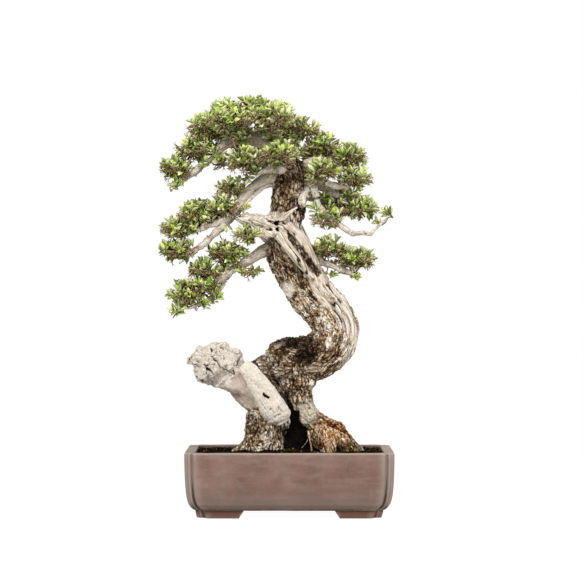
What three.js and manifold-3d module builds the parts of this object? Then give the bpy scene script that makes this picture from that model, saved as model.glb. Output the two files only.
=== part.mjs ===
// Olive bonsai: an old wild olive with two legs, a weathered stump, a stripped deadwood strip up its trunk
// and clipped leafy pads, planted in an unglazed oblong pot with indented corners and four feet.
// Millimetres, +Z up, the front of the pot facing -Y. Sizes below are measured from the middle of the pot,
// on the surface that it stands on; the last lines move the origin to the middle of the whole plant's width.
import * as THREE from "three";
import { mergeVertices } from "three/addons/utils/BufferGeometryUtils.js";
import Module from "manifold-3d";

const wasm = await Module();
wasm.setup();

// ---- driving dimensions ----------------------------------------------------------------------------
const POT_LENGTH = 400; // over the two end panels, at the rim
const POT_DEPTH = 296; // over the front and back panels, at the rim
const POT_HEIGHT = 125;
const FOOT_HEIGHT = 15;
const CORNER_STEP = 17; // each upright corner is set in by this much both ways
const CORNER_ROUND = 9; // softens the ends of each panel
const FOOT_GAP_LONG = 86; // half the gap between the front feet, at its narrow top
const FOOT_GAP_SHORT = 58; // half the gap between the feet of one end
const FOOT_FLARE = 10; // how much wider each half gap is at the table
const TOOL_REACH = 30; // how far a cutting solid passes through the wall it cuts
const RIM_WIDTH = 20; // flat top of the rim
const FLOOR_THICKNESS = 12;
const DRAIN_RADIUS = 11;
const DRAIN_OFFSET = 95; // each drain hole, from the middle of the floor
const SCREEN_SIDE = 42;
const SCREEN_THICKNESS = 1.6;
const SCREEN_HOLE = 10; // each of the screen's four square holes
const SCREEN_PITCH = 13; // from hole to hole
const SOIL_LEVEL = 119; // at the walls; the soil is mounded a little towards the trunk
const FIT_GAP = 0.35; // between pieces that touch
const TREE_OFFSET = new THREE.Vector3(2, 0, 2); // the tree's own zero, from the pot's
const LEAF_LENGTH = 20;
const LEAF_WIDTH = 8;
const LEAF_THICKNESS = 1.2;

// ---- helpers: geometry to solid and back -----------------------------------------------------------

// A closed three.js geometry as a manifold-3d solid.
function solidOf(geometry) {
  const bare = geometry.clone();
  bare.deleteAttribute("normal");
  bare.deleteAttribute("uv");
  const merged = mergeVertices(bare, 1e-4);
  return new wasm.Manifold(
    new wasm.Mesh({
      numProp: 3,
      vertProperties: new Float32Array(merged.attributes.position.array),
      triVerts: new Uint32Array(merged.index.array),
    }),
  );
}

// A manifold-3d solid as a flat-shaded three.js geometry, without the slivers that a cut leaves.
function geometryOf(solid, smallest = 0.02) {
  const mesh = solid.simplify(smallest).getMesh();
  const geometry = new THREE.BufferGeometry();
  geometry.setAttribute("position", new THREE.BufferAttribute(new Float32Array(mesh.vertProperties), 3));
  geometry.setIndex(new THREE.BufferAttribute(new Uint32Array(mesh.triVerts), 1));
  const flat = geometry.toNonIndexed();
  flat.computeVertexNormals();
  return flat;
}

// The largest body of a solid, without any scrap that a cut has left loose.
function largestBody(solid) {
  const bodies = solid.decompose();
  return bodies.reduce((best, body) => (body.volume() > best.volume() ? body : best), bodies[0]);
}

const unionOf = (solids) => wasm.Manifold.union(solids);

// A closed skin through rings of points that run anticlockwise about the way the loft goes, from a point at
// its start to a point at its end.
function loft(start, rings, end) {
  const sides = rings[0].length;
  const points = [start, ...rings.flat(), end];
  const last = points.length - 1;
  const faces = [];
  for (let side = 0; side < sides; side++) {
    const next = (side + 1) % sides;
    faces.push(0, 1 + next, 1 + side);
    for (let ring = 0; ring < rings.length - 1; ring++) {
      const near = 1 + ring * sides;
      const far = near + sides;
      faces.push(near + side, near + next, far + next);
      faces.push(near + side, far + next, far + side);
    }
    const top = last - sides;
    faces.push(last, top + side, top + next);
  }
  const geometry = new THREE.BufferGeometry().setFromPoints(points);
  geometry.setIndex(faces);
  return solidOf(geometry);
}

// ---- pot: one fired piece of unglazed clay ---------------------------------------------------------

// The oblong with its four corners stepped in, drawn smaller all round by an inset. Anticlockwise.
function potOutline(inset, height) {
  const x = POT_LENGTH / 2 - inset;
  const y = POT_DEPTH / 2 - inset;
  const step = CORNER_STEP;
  const round = CORNER_ROUND;
  const quarter = [
    [x, y - step - round],
    [x - round * 0.3, y - step - round * 0.3],
    [x - round, y - step],
    [x - step, y - step],
    [x - step, y - round],
    [x - step - round * 0.3, y - round * 0.3],
    [x - step - round, y],
  ];
  const mirrored = (sx, sy) => quarter.map(([px, py]) => [px * sx, py * sy]);
  const outline = [
    ...mirrored(1, 1),
    ...mirrored(-1, 1).reverse(),
    ...mirrored(-1, -1),
    ...mirrored(1, -1).reverse(),
  ];
  return outline.map(([px, py]) => new THREE.Vector3(px, py, height));
}

// The inside of the pot: an oblong with cut corners.
function cavityOutline(inset, height) {
  const x = POT_LENGTH / 2 - inset;
  const y = POT_DEPTH / 2 - inset;
  const cut = 20;
  const outline = [
    [x, -y + cut], [x, y - cut], [x - cut * 0.3, y - cut * 0.3], [x - cut, y],
    [-x + cut, y], [-x + cut * 0.3, y - cut * 0.3], [-x, y - cut],
    [-x, -y + cut], [-x + cut * 0.3, -y + cut * 0.3], [-x + cut, -y],
    [x - cut, -y], [x - cut * 0.3, -y + cut * 0.3],
  ];
  return outline.map(([px, py]) => new THREE.Vector3(px, py, height));
}

const middle = (height) => new THREE.Vector3(0, 0, height);

// The walls stand nearly upright and turn in towards the base: height, inset.
const WALL_PROFILE = [
  [FOOT_HEIGHT, 18], [20, 12.5], [28, 7.5], [42, 4], [62, 1.8], [90, 0.4],
  [POT_HEIGHT - 3, 0], [POT_HEIGHT, 1.2],
];
const FLOOR_TOP = FOOT_HEIGHT + FLOOR_THICKNESS;
const UNDER_RIM_INSET = 14; // the wall is thinner below the rim

function cavity(gap) {
  const rings = [
    cavityOutline(UNDER_RIM_INSET + 16 + gap, FLOOR_TOP + gap),
    cavityOutline(UNDER_RIM_INSET + 5 + gap, FLOOR_TOP + 22),
    cavityOutline(UNDER_RIM_INSET + 1 + gap, POT_HEIGHT - 26),
    cavityOutline(RIM_WIDTH + gap, POT_HEIGHT - 16),
    cavityOutline(RIM_WIDTH + gap, POT_HEIGHT + 10),
  ];
  return loft(middle(FLOOR_TOP + gap), rings, middle(POT_HEIGHT + 10));
}

// A bar with a trapezoid section, wider at the table, that parts the foot ring into four feet.
function footCut(halfTop, alongY) {
  const halfFoot = halfTop + FOOT_FLARE;
  const length = POT_LENGTH + 2 * TOOL_REACH;
  const shape = new THREE.Shape();
  shape.moveTo(-halfFoot, -1);
  shape.lineTo(halfFoot, -1);
  shape.lineTo(halfTop, FOOT_HEIGHT);
  shape.lineTo(-halfTop, FOOT_HEIGHT);
  const bar = new THREE.ExtrudeGeometry(shape, { depth: length, bevelEnabled: false });
  bar.translate(0, 0, -length / 2);
  bar.rotateX(Math.PI / 2);
  if (!alongY) bar.rotateZ(Math.PI / 2);
  return solidOf(bar);
}

function drainHole(side) {
  const hole = new THREE.CylinderGeometry(DRAIN_RADIUS, DRAIN_RADIUS, 2 * TOOL_REACH, 12);
  hole.rotateX(Math.PI / 2);
  hole.translate(side * DRAIN_OFFSET, 0, FOOT_HEIGHT);
  return solidOf(hole);
}

function potSolid() {
  const rings = WALL_PROFILE.map(([z, inset]) => potOutline(inset, z));
  const body = loft(middle(FOOT_HEIGHT), rings, middle(POT_HEIGHT));
  const footRing = loft(
    middle(0),
    [potOutline(24, 0), potOutline(23, 2), potOutline(20, FOOT_HEIGHT + 1)],
    middle(FOOT_HEIGHT + 1),
  );
  const insideFeet = loft(
    middle(-1),
    [cavityOutline(46, -1), cavityOutline(50, FOOT_HEIGHT)],
    middle(FOOT_HEIGHT),
  );
  const feet = footRing
    .subtract(insideFeet)
    .subtract(footCut(FOOT_GAP_LONG, true))
    .subtract(footCut(FOOT_GAP_SHORT, false));
  return body
    .add(feet)
    .subtract(cavity(0))
    .subtract(drainHole(-1))
    .subtract(drainHole(1));
}

// ---- drain screens: square plastic meshes that lie over the drain holes ----------------------------

function screenSolid(side, grow = 0) {
  const width = SCREEN_SIDE + 2 * grow;
  const plate = new THREE.BoxGeometry(width, width, SCREEN_THICKNESS + 2 * grow);
  let screen = solidOf(plate);
  if (!grow)
    for (const column of [-0.5, 0.5])
      for (const row of [-0.5, 0.5]) {
        const hole = new THREE.BoxGeometry(SCREEN_HOLE, SCREEN_HOLE, TOOL_REACH);
        hole.translate(column * SCREEN_PITCH, row * SCREEN_PITCH, 0);
        screen = screen.subtract(solidOf(hole));
      }
  return screen.translate([side * DRAIN_OFFSET, 0, FLOOR_TOP + FIT_GAP + SCREEN_THICKNESS / 2]);
}

// ---- wood: every limb is a tapering tube along a curve ---------------------------------------------

// A place on the tree, which stands a little right of the pot's middle.
const treePoint = ([x, y, z]) => new THREE.Vector3(x, y, z).add(TREE_OFFSET);

// A limb's centre line and radius between hand-placed stations [x, y, z, radius].
function limbCurve(stations) {
  const curve = new THREE.CatmullRomCurve3(stations.map(treePoint), false, "centripetal");
  const radiusAt = (t) => {
    const at = Math.min(t * (stations.length - 1), stations.length - 1 - 1e-9);
    const index = Math.floor(at);
    const share = at - index;
    const ease = share * share * (3 - 2 * share);
    return stations[index][3] * (1 - ease) + stations[index + 1][3] * ease;
  };
  return { curve, radiusAt };
}

// The tube round a limb. depth flattens its section front to back, relief(t, angle) carves its surface, and
// grow makes it bigger all round, for the hole that it stands in.
function limbSolid({ stations, sides = 6, steps = 8, depth = 1, relief = () => 1 }, grow = 0) {
  const { curve, radiusAt } = limbCurve(stations);
  const normal = new THREE.Vector3(0, 1, 0);
  const rings = [];
  for (let step = 0; step <= steps; step++) {
    const t = step / steps;
    const centre = curve.getPoint(t);
    const forward = curve.getTangent(t);
    if (step === 0 && Math.abs(forward.y) > 0.8) normal.set(0, 0, 1);
    normal.addScaledVector(forward, -normal.dot(forward)).normalize();
    const across = new THREE.Vector3().crossVectors(forward, normal);
    const ring = [];
    for (let side = 0; side < sides; side++) {
      const angle = (side / sides) * 2 * Math.PI;
      const radius = radiusAt(t) * relief(t, angle);
      const point = centre.clone();
      point.addScaledVector(normal, Math.cos(angle) * (radius * depth + grow));
      point.addScaledVector(across, Math.sin(angle) * (radius + grow));
      ring.push(point);
    }
    rings.push(ring);
  }
  const startBulge = 0.3 * radiusAt(0) + grow;
  const endBulge = 0.3 * radiusAt(1) + grow;
  const start = curve.getPoint(0).addScaledVector(curve.getTangent(0), -startBulge);
  const end = curve.getPoint(1).addScaledVector(curve.getTangent(1), endBulge);
  return loft(start, rings, end);
}

// Old bark runs in uneven ribs round the trunk, with burls between them.
const barkRibs = (t, angle) =>
  1 +
  0.05 * Math.sin(3 * angle + 11 * t) +
  0.045 * Math.sin(5 * angle - 17 * t) +
  0.03 * Math.sin(9 * angle + 40 * t);
const strippedRidges = (t, angle) => 1 + 0.14 * Math.cos(4 * angle + 7 * t);
const brokenKnobs = (t, angle) =>
  1 + 0.08 * Math.sin(4 * angle + 25 * t) + (t > 0.75 ? 0.16 * Math.sin(3 * angle + 60 * t) : 0);

const LIMBS = {
  // The two legs, and the charred hollow back that joins them.
  trunk: {
    sides: 16, steps: 28, depth: 0.86, relief: barkRibs,
    stations: [
      [86, 0, 78, 27], [84, 0, 108, 33], [70, 0, 142, 27], [42, 0, 180, 23], [26, 1, 205, 19.5],
      [21, 2, 229, 20], [19, 3, 252, 33], [14, 4, 280, 39], [26, 4, 298, 42], [52, 2, 301, 47],
      [76, 0, 323, 47], [85, 0, 356, 45], [64, 0, 393, 45], [34, 0, 432, 45], [10, 0, 475, 43],
      [-3, 0, 514, 41], [-10, 0, 549, 34], [-8, 0, 580, 32], [-3, 0, 611, 33], [1, 0, 638, 36],
      [-1, 0, 665, 32], [-9, 0, 689, 20],
    ],
  },
  burl: {
    sides: 12, steps: 6, depth: 0.9, relief: barkRibs,
    stations: [
      [24, 4, 296, 40], [-4, 5, 297, 42], [-26, 5, 298, 37], [-40, 5, 299, 27], [-49, 5, 300, 13],
    ],
  },
  stump: {
    sides: 12, steps: 13, depth: 0.82, relief: brokenKnobs,
    stations: [
      [-52, -4, 78, 36], [-50, -4, 115, 46], [-46, -4, 146, 40], [-45, -4, 179, 39], [-53, -4, 208, 34],
      [-80, -4, 238, 31], [-104, -5, 259, 32], [-126, -7, 278, 37], [-149, -7, 288, 40],
      [-170, -6, 286, 38], [-188, -7, 283, 27],
    ],
  },
  hollow_back: {
    sides: 9, steps: 7, relief: barkRibs,
    stations: [
      [-66, 22, 298, 18], [-47, 24, 266, 24], [-24, 26, 226, 29], [-9, 26, 189, 35], [2, 24, 150, 42],
      [4, 20, 100, 45],
    ],
  },
  // Bleached deadwood: the plank over the stump, its broken knobs, and the stripped strands up the trunk.
  slab: {
    sides: 6, steps: 5, depth: 0.5,
    stations: [
      [-92, -28, 286, 13], [-76, -34, 270, 18], [-60, -37, 247, 21], [-46, -38, 225, 24],
      [-34, -39, 205, 26], [-21, -38, 187, 24], [-15, -36, 174, 13],
    ],
  },
  stump_face: {
    sides: 7, steps: 2,
    stations: [[-122, -10, 292, 26], [-124, -30, 294, 24], [-125, -38, 295, 18]],
  },
  stump_spike: {
    sides: 5, steps: 3,
    stations: [[-162, -8, 296, 20], [-186, -10, 296, 14], [-201, -10, 296, 7]],
  },
  stump_knob: {
    sides: 6, steps: 2,
    stations: [[-128, -2, 294, 26], [-106, -6, 300, 21], [-95, -8, 303, 14]],
  },
  stump_crest: {
    sides: 5, steps: 2,
    stations: [[-130, 0, 306, 18], [-148, 2, 322, 9], [-153, 2, 330, 4]],
  },
  jin: {
    sides: 7, steps: 6, relief: strippedRidges,
    stations: [
      [-8, -8, 530, 30], [-38, -18, 550, 27], [-65, -22, 560, 19], [-87, -24, 568, 10],
      [-106, -24, 571, 4],
    ],
  },
  jin_horn: {
    sides: 4, steps: 3,
    stations: [[-26, -34, 562, 6], [-5, -42, 578, 4.5], [13, -44, 592, 2.2]],
  },
  splinter: {
    sides: 4, steps: 4,
    stations: [[-28, -32, 548, 7], [-6, -46, 516, 8.5], [18, -48, 486, 8.5], [42, -40, 454, 4]],
  },
  strand_front: {
    sides: 6, steps: 8,
    stations: [
      [-8, -22, 556, 15], [16, -28, 524, 19], [32, -30, 492, 18], [50, -28, 462, 14],
      [64, -24, 430, 17], [88, -18, 402, 17], [104, -12, 366, 14], [115, -6, 336, 8],
    ],
  },
  strand_side: {
    sides: 5, steps: 6,
    stations: [
      [14, 2, 552, 11], [28, 4, 522, 12], [40, 4, 486, 13], [52, 4, 446, 14], [79, 6, 408, 14],
      [104, 6, 372, 12], [113, 4, 340, 9],
    ],
  },
  // Surface roots, which dive into the soil.
  root_left: {
    sides: 6, steps: 3,
    stations: [[-72, -6, 135, 20], [-97, -10, 120, 12], [-122, -14, 104, 6]],
  },
  root_left_front: {
    sides: 6, steps: 3,
    stations: [[-58, -24, 128, 20], [-62, -44, 113, 11], [-66, -64, 100, 6]],
  },
  root_left_back: {
    sides: 6, steps: 3,
    stations: [[-48, 26, 132, 20], [-58, 56, 117, 12], [-68, 82, 102, 6]],
  },
  root_right: {
    sides: 7, steps: 5, relief: barkRibs,
    stations: [
      [50, -4, 168, 22], [82, -8, 150, 26], [104, -10, 134, 23], [126, -10, 118, 15],
      [150, -12, 102, 6],
    ],
  },
  root_right_front: {
    sides: 6, steps: 4,
    stations: [[66, -18, 150, 20], [70, -44, 132, 17], [76, -66, 115, 11], [82, -84, 102, 5]],
  },
  root_right_back: {
    sides: 6, steps: 3,
    stations: [[60, 26, 142, 20], [66, 56, 121, 13], [74, 84, 102, 6]],
  },
  // Living branches, from the lowest tier up.
  left_lower: {
    sides: 6, steps: 9,
    stations: [
      [-22, -4, 516, 18], [-51, -8, 508, 13], [-75, -10, 493, 10], [-94, -12, 482, 9],
      [-120, -14, 465, 8.5], [-147, -16, 448, 8], [-172, -18, 434, 7], [-201, -20, 416, 6],
      [-228, -22, 395, 4.6],
    ],
  },
  left_lower_drop: {
    sides: 4, steps: 5,
    stations: [
      [-124, -14, 460, 5], [-134, -14, 436, 4], [-150, -16, 421, 3.6], [-172, -18, 406, 3],
      [-197, -20, 396, 2.4],
    ],
  },
  left_upper: {
    sides: 6, steps: 10,
    stations: [
      [-18, 0, 658, 20], [-52, -4, 645, 13], [-75, -8, 629, 11], [-92, -12, 611, 10.5],
      [-105, -12, 590, 9.6], [-117, -12, 572, 8.4], [-133, -14, 553, 7.2], [-150, -16, 537, 6.6],
      [-170, -18, 519, 6.2], [-196, -20, 504, 5.4], [-226, -20, 495, 4.2],
    ],
  },
  left_upper_fork: {
    sides: 5, steps: 5,
    stations: [
      [-112, -12, 576, 8], [-140, -16, 563, 6.8], [-174, -18, 552, 6], [-204, -18, 542, 5.2],
      [-230, -18, 536, 4.2],
    ],
  },
  left_upper_strut: {
    sides: 4, steps: 4,
    stations: [[-30, -4, 640, 7], [-56, -14, 628, 4.2], [-76, -16, 610, 3.8], [-96, -14, 590, 5]],
  },
  left_back: {
    sides: 5, steps: 4,
    stations: [[-92, -8, 606, 9], [-110, 12, 578, 6.5], [-140, 30, 570, 5], [-158, 36, 568, 4]],
  },
  right_low: {
    sides: 5, steps: 5,
    stations: [
      [30, 8, 504, 14], [62, 8, 486, 8.5], [86, 4, 478, 6.6], [106, 2, 470, 5.6], [124, 0, 463, 4.2],
    ],
  },
  right_mid: {
    sides: 5, steps: 10,
    stations: [
      [20, -6, 622, 12], [37, -12, 635, 9], [48, -12, 619, 7.6], [54, -12, 600, 6.8],
      [72, -12, 577, 6.2], [88, -12, 564, 5.8], [105, -12, 551, 5.4], [122, -12, 541, 5.1],
      [141, -12, 542, 4.4], [159, -12, 539, 3.8],
    ],
  },
  right_tip: {
    sides: 4, steps: 3,
    stations: [[155, -12, 540, 3.2], [172, -12, 557, 2.5], [189, -12, 572, 2.2]],
  },
  right_knob: {
    sides: 5, steps: 3,
    stations: [[32, -14, 628, 9], [22, -26, 608, 7.5], [26, -28, 592, 6]],
  },
  right_high: {
    sides: 5, steps: 5,
    stations: [[12, 4, 645, 14], [52, 12, 634, 9], [84, 14, 622, 7], [110, 8, 606, 5.2]],
  },
  right_shelf: {
    sides: 5, steps: 4,
    stations: [[12, -2, 655, 14], [55, -8, 646, 9], [88, -10, 636, 6.6], [114, -10, 632, 5]],
  },
  right_back: {
    sides: 5, steps: 4,
    stations: [[8, 10, 628, 13], [42, 34, 612, 8], [78, 50, 596, 5.4]],
  },
  mid_back: { sides: 5, steps: 4, stations: [[14, 18, 500, 15], [12, 55, 496, 9], [10, 78, 497, 6]] },
  crown_left: {
    sides: 6, steps: 12,
    stations: [
      [-1, 0, 664, 26], [-18, 4, 698, 19.5], [-44, 2, 716, 15.6], [-75, -2, 726, 13.6],
      [-102, -6, 726, 11.7], [-128, -8, 714, 9.7], [-151, -10, 693, 9], [-171, -12, 675, 7.6],
      [-196, -14, 656, 6.2], [-220, -16, 640, 5], [-240, -16, 636, 3.4],
    ],
  },
  crown_top: {
    sides: 5, steps: 5,
    stations: [[-8, 0, 680, 18], [-18, 2, 712, 12], [-38, 2, 742, 9], [-62, 0, 762, 6]],
  },
  crown_right: {
    sides: 6, steps: 5,
    stations: [
      [6, 0, 658, 20], [36, 0, 676, 13], [66, 0, 684, 9.7], [94, 0, 676, 7.6], [112, 0, 666, 5.6],
    ],
  },
  crown_rise: { sides: 5, steps: 3, stations: [[2, 0, 676, 14], [4, 2, 706, 9], [-6, 2, 738, 6.5]] },
  crown_fore: {
    sides: 5, steps: 3,
    stations: [[-16, -2, 714, 9], [-28, -24, 728, 6], [-36, -40, 736, 4.4]],
  },
  crown_left_fore: {
    sides: 5, steps: 3,
    stations: [[-92, -6, 727, 8], [-106, -28, 732, 5.4], [-114, -42, 734, 4]],
  },
  crown_front: {
    sides: 5, steps: 3,
    stations: [[-6, -8, 664, 15], [-26, -36, 666, 9.5], [-50, -52, 662, 6.6], [-74, -58, 658, 4.6]],
  },
  crown_right_front: {
    sides: 5, steps: 3,
    stations: [[26, -4, 668, 9], [44, -24, 652, 6.4], [54, -36, 640, 4.6]],
  },
  crown_back_left: {
    sides: 5, steps: 3,
    stations: [[-22, 6, 700, 12], [-54, 32, 710, 8], [-86, 48, 716, 6], [-112, 54, 717, 4.6]],
  },
  crown_back: {
    sides: 5, steps: 3,
    stations: [[-10, 6, 694, 11], [-14, 36, 718, 7.4], [-20, 52, 732, 5]],
  },
  crown_back_right: {
    sides: 5, steps: 3,
    stations: [[8, 6, 662, 14], [32, 36, 672, 8], [54, 50, 678, 5.4]],
  },
  crown_back_low: {
    sides: 5, steps: 3,
    stations: [[-4, 10, 650, 15], [-14, 46, 654, 8.6], [-20, 66, 658, 5.6]],
  },
};

const woodSolid = (grow = 0) => unionOf(Object.values(LIMBS).map((limb) => limbSolid(limb, grow)));

// ---- soil: fills the pot, mounded towards the trunk, with a plain hole for the legs and roots -------

function soilSolid(rootHole) {
  const block = new THREE.BoxGeometry(POT_LENGTH, POT_DEPTH, 100, 8, 6, 1);
  const place = block.getAttribute("position");
  for (let i = 0; i < place.count; i++) {
    const x = place.getX(i);
    const y = place.getY(i);
    const fromLegs = Math.hypot((x - 5) / 170, y / 105);
    const mound = 9 * Math.exp(-2 * fromLegs * fromLegs);
    const lumps = 1.2 * Math.sin(x * 0.11 + 1.3) * Math.cos(y * 0.13 - 0.4);
    place.setZ(i, place.getZ(i) > 0 ? SOIL_LEVEL + mound + lumps : 0);
  }
  return solidOf(block)
    .intersect(cavity(FIT_GAP))
    .subtract(rootHole)
    .subtract(screenSolid(-1, FIT_GAP))
    .subtract(screenSolid(1, FIT_GAP));
}

// ---- leaves: clipped pads of leafy shoots ----------------------------------------------------------

// A small seeded random generator, the same on every run.
function randomFrom(seed) {
  let state = seed;
  return () => {
    state = (state * 1664525 + 1013904223) % 4294967296;
    return state / 4294967296;
  };
}

// One leathery olive leaf: narrow, pointed, with a raised midrib and a flat underside.
function leafSolid(base, direction, roll, length) {
  const forward = direction.clone().normalize();
  const up = new THREE.Vector3(Math.cos(roll) * 0.6, Math.sin(roll) * 0.6, 1);
  up.addScaledVector(forward, -up.dot(forward)).normalize();
  const across = new THREE.Vector3().crossVectors(forward, up);
  const at = (along, side, lift) =>
    base.clone()
      .addScaledVector(forward, along * length)
      .addScaledVector(across, side * (LEAF_WIDTH / 2))
      .addScaledVector(up, lift);
  const widest = [at(0.52, 0, LEAF_THICKNESS), at(0.52, 1, 0), at(0.52, -1, 0)];
  return loft(at(0, 0, 0), [widest], at(1, 0, -1));
}

// Each pad: the limb that carries it, its centre, its half sizes over the leaves, and its number of leaves.
const PADS = {
  left_lower_tip: { on: "left_lower", centre: [-203, -20, 417], size: [38, 35, 28], leaves: 13 },
  left_lower_fall: { on: "left_lower", centre: [-174, -22, 430], size: [29, 28, 22], leaves: 9 },
  left_lower_mid: { on: "left_lower", centre: [-165, -18, 463], size: [34, 33, 29], leaves: 12 },
  left_lower_near: { on: "left_lower", centre: [-120, -14, 498], size: [44, 33, 30], leaves: 15 },
  left_lower_spray: { on: "left_lower", centre: [-80, -20, 462], size: [17, 15, 13], leaves: 4 },
  left_upper_low: { on: "left_upper", centre: [-220, -22, 502], size: [40, 29, 21], leaves: 11 },
  left_upper_tip: { on: "left_upper_fork", centre: [-225, -18, 543], size: [34, 31, 25], leaves: 12 },
  left_upper_mid: { on: "left_upper_fork", centre: [-182, -18, 570], size: [35, 35, 34], leaves: 15 },
  left_upper_near: { on: "left_upper_fork", centre: [-132, -18, 586], size: [32, 33, 30], leaves: 13 },
  left_upper_heel: { on: "left_upper", centre: [-114, -16, 624], size: [21, 26, 28], leaves: 9 },
  left_back: { on: "left_back", centre: [-168, 44, 582], size: [44, 35, 24], leaves: 9 },
  jin_shoot: { on: "jin", centre: [-82, -47, 530], size: [20, 15, 17], leaves: 5 },
  crown_left_tip: { on: "crown_left", centre: [-221, -16, 658], size: [31, 33, 29], leaves: 13 },
  crown_left_sprig: { on: "crown_left", centre: [-122, -18, 672], size: [20, 19, 20], leaves: 5 },
  crown_left_fall: { on: "crown_left", centre: [-186, -14, 699], size: [35, 40, 34], leaves: 14 },
  crown_left_brow: { on: "crown_left", centre: [-160, -10, 744], size: [38, 44, 33], leaves: 13 },
  crown_left_top: { on: "crown_left", centre: [-122, -6, 776], size: [40, 46, 31], leaves: 14 },
  crown_top: { on: "crown_top", centre: [-74, -4, 783], size: [40, 46, 29], leaves: 14 },
  crown_rise: { on: "crown_rise", centre: [-26, -2, 768], size: [40, 46, 31], leaves: 14 },
  crown_ridge: { on: "crown_rise", centre: [24, 2, 739], size: [37, 44, 31], leaves: 14 },
  crown_left_fore: { on: "crown_left_fore", centre: [-120, -54, 752], size: [42, 29, 27], leaves: 14 },
  crown_fore: { on: "crown_fore", centre: [-40, -54, 764], size: [42, 29, 23], leaves: 12 },
  crown_shoulder: { on: "crown_right", centre: [62, 2, 703], size: [37, 44, 31], leaves: 14 },
  crown_right_tip: { on: "crown_right", centre: [112, 0, 684], size: [36, 40, 30], leaves: 15 },
  crown_right_front: { on: "crown_right_front", centre: [60, -52, 656], size: [37, 29, 26], leaves: 14 },
  crown_front_left: { on: "crown_front", centre: [-88, -62, 674], size: [42, 29, 29], leaves: 14 },
  crown_front_right: { on: "crown_front", centre: [-22, -66, 690], size: [44, 29, 26], leaves: 14 },
  crown_back_left: { on: "crown_back_left", centre: [-118, 62, 734], size: [48, 37, 31], leaves: 9 },
  crown_back_top: { on: "crown_back", centre: [-26, 62, 742], size: [48, 37, 31], leaves: 9 },
  crown_back_right: { on: "crown_back_right", centre: [60, 62, 690], size: [46, 37, 31], leaves: 8 },
  crown_back_low: { on: "crown_back_low", centre: [-30, 84, 672], size: [46, 33, 26], leaves: 7 },
  right_shelf: { on: "right_shelf", centre: [120, -12, 642], size: [33, 31, 20], leaves: 11 },
  right_high_tip: { on: "right_high", centre: [136, 2, 586], size: [38, 33, 36], leaves: 15 },
  right_high_near: { on: "right_high", centre: [88, 18, 585], size: [34, 29, 31], leaves: 12 },
  right_mid_shoot: { on: "right_mid", centre: [66, -22, 556], size: [21, 18, 17], leaves: 7 },
  right_tip_shoot: { on: "right_tip", centre: [190, -12, 573], size: [11, 11, 12], leaves: 4 },
  right_back: { on: "right_back", centre: [92, 64, 608], size: [42, 35, 29], leaves: 8 },
  right_low_near: { on: "right_low", centre: [74, 4, 508], size: [30, 29, 33], leaves: 14 },
  right_low_tip: { on: "right_low", centre: [124, 0, 487], size: [40, 35, 29], leaves: 15 },
  mid_back: { on: "mid_back", centre: [10, 98, 508], size: [40, 33, 24], leaves: 7 },
};

const STEM_RADIUS = 2;
const LEAF_SINK = 0.72; // how far out of the middle of a heart its leaves start
const STEM_SINK = 3; // how far a shoot starts inside the outline of its branch, before it is cut to meet it

// The stem that carries a pad, from the nearest place on its branch to the middle of its leaves.
function stemSolid({ on, centre }) {
  const { curve, radiusAt } = limbCurve(LIMBS[on].stations);
  const heart = treePoint(centre);
  const places = Array.from({ length: 50 }, (_, i) => i / 49);
  const distanceAt = (t) => curve.getPoint(t).distanceTo(heart);
  const nearest = places.reduce((best, t) => (distanceAt(t) < distanceAt(best) ? t : best));
  const axis = curve.getPoint(nearest);
  const outward = heart.clone().sub(axis).normalize();
  const root = axis.addScaledVector(outward, radiusAt(nearest) - STEM_SINK);
  return loftedStem([root, heart]);
}

// A straight shoot with a square section.
function loftedStem([root, tip]) {
  const forward = tip.clone().sub(root).normalize();
  const side = new THREE.Vector3(0, 1, 0).cross(forward).normalize();
  const other = new THREE.Vector3().crossVectors(forward, side);
  const corners = [[1, 0], [0, 1], [-1, 0], [0, -1]];
  const corner = (centre, a, b) =>
    centre.clone().addScaledVector(side, a * STEM_RADIUS).addScaledVector(other, b * STEM_RADIUS);
  const ring = (centre) => corners.map(([a, b]) => corner(centre, a, b));
  return loft(root, [ring(root), ring(tip)], tip);
}

// The twiggy heart of a pad, smaller than the leaves that stand out of it.
const heartSize = ([x, y, z]) => [0.56 * x, 0.56 * y, 0.46 * z];

function heartSolid({ centre, size }) {
  const lump = new THREE.SphereGeometry(1, 6, 4);
  lump.rotateX(Math.PI / 2);
  lump.scale(...heartSize(size));
  lump.translate(...treePoint(centre).toArray());
  return solidOf(lump);
}

// Leaves stand out of the heart all round, more of them above than below, and turn up at the tips.
// One that would cross another pad or a branch is turned until it is clear.
function leafyPad(pad, index, base, taken) {
  const random = randomFrom(101 + 37 * index);
  const middleOfPad = treePoint(pad.centre);
  const half = new THREE.Vector3(...pad.size);
  const inner = new THREE.Vector3(...heartSize(pad.size)).multiplyScalar(LEAF_SINK);
  const golden = Math.PI * (3 - Math.sqrt(5));
  const pieces = [base];
  for (let leaf = 0; leaf < pad.leaves; leaf++) {
    const height = 1 - (1.45 * (leaf + 0.5)) / pad.leaves;
    const level = Math.sqrt(Math.max(0, 1 - height * height));
    for (let turn = 0; turn < 14; turn++) {
      const around = golden * leaf + index + turn * 0.9 * (random() - 0.5);
      const out = new THREE.Vector3(Math.cos(around) * level, Math.sin(around) * level, height);
      const foot = out.clone().multiply(inner).add(middleOfPad);
      const direction = out.clone().divide(half).normalize();
      direction.x += 0.5 * (random() - 0.5);
      direction.y += 0.5 * (random() - 0.5);
      direction.z += 0.2;
      const length = LEAF_LENGTH * (0.92 + 0.26 * random());
      const blade = leafSolid(foot, direction, 2 * Math.PI * random(), length);
      if (blade.intersect(taken).isEmpty()) {
        pieces.push(blade);
        break;
      }
    }
  }
  return largestBody(unionOf(pieces));
}

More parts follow.
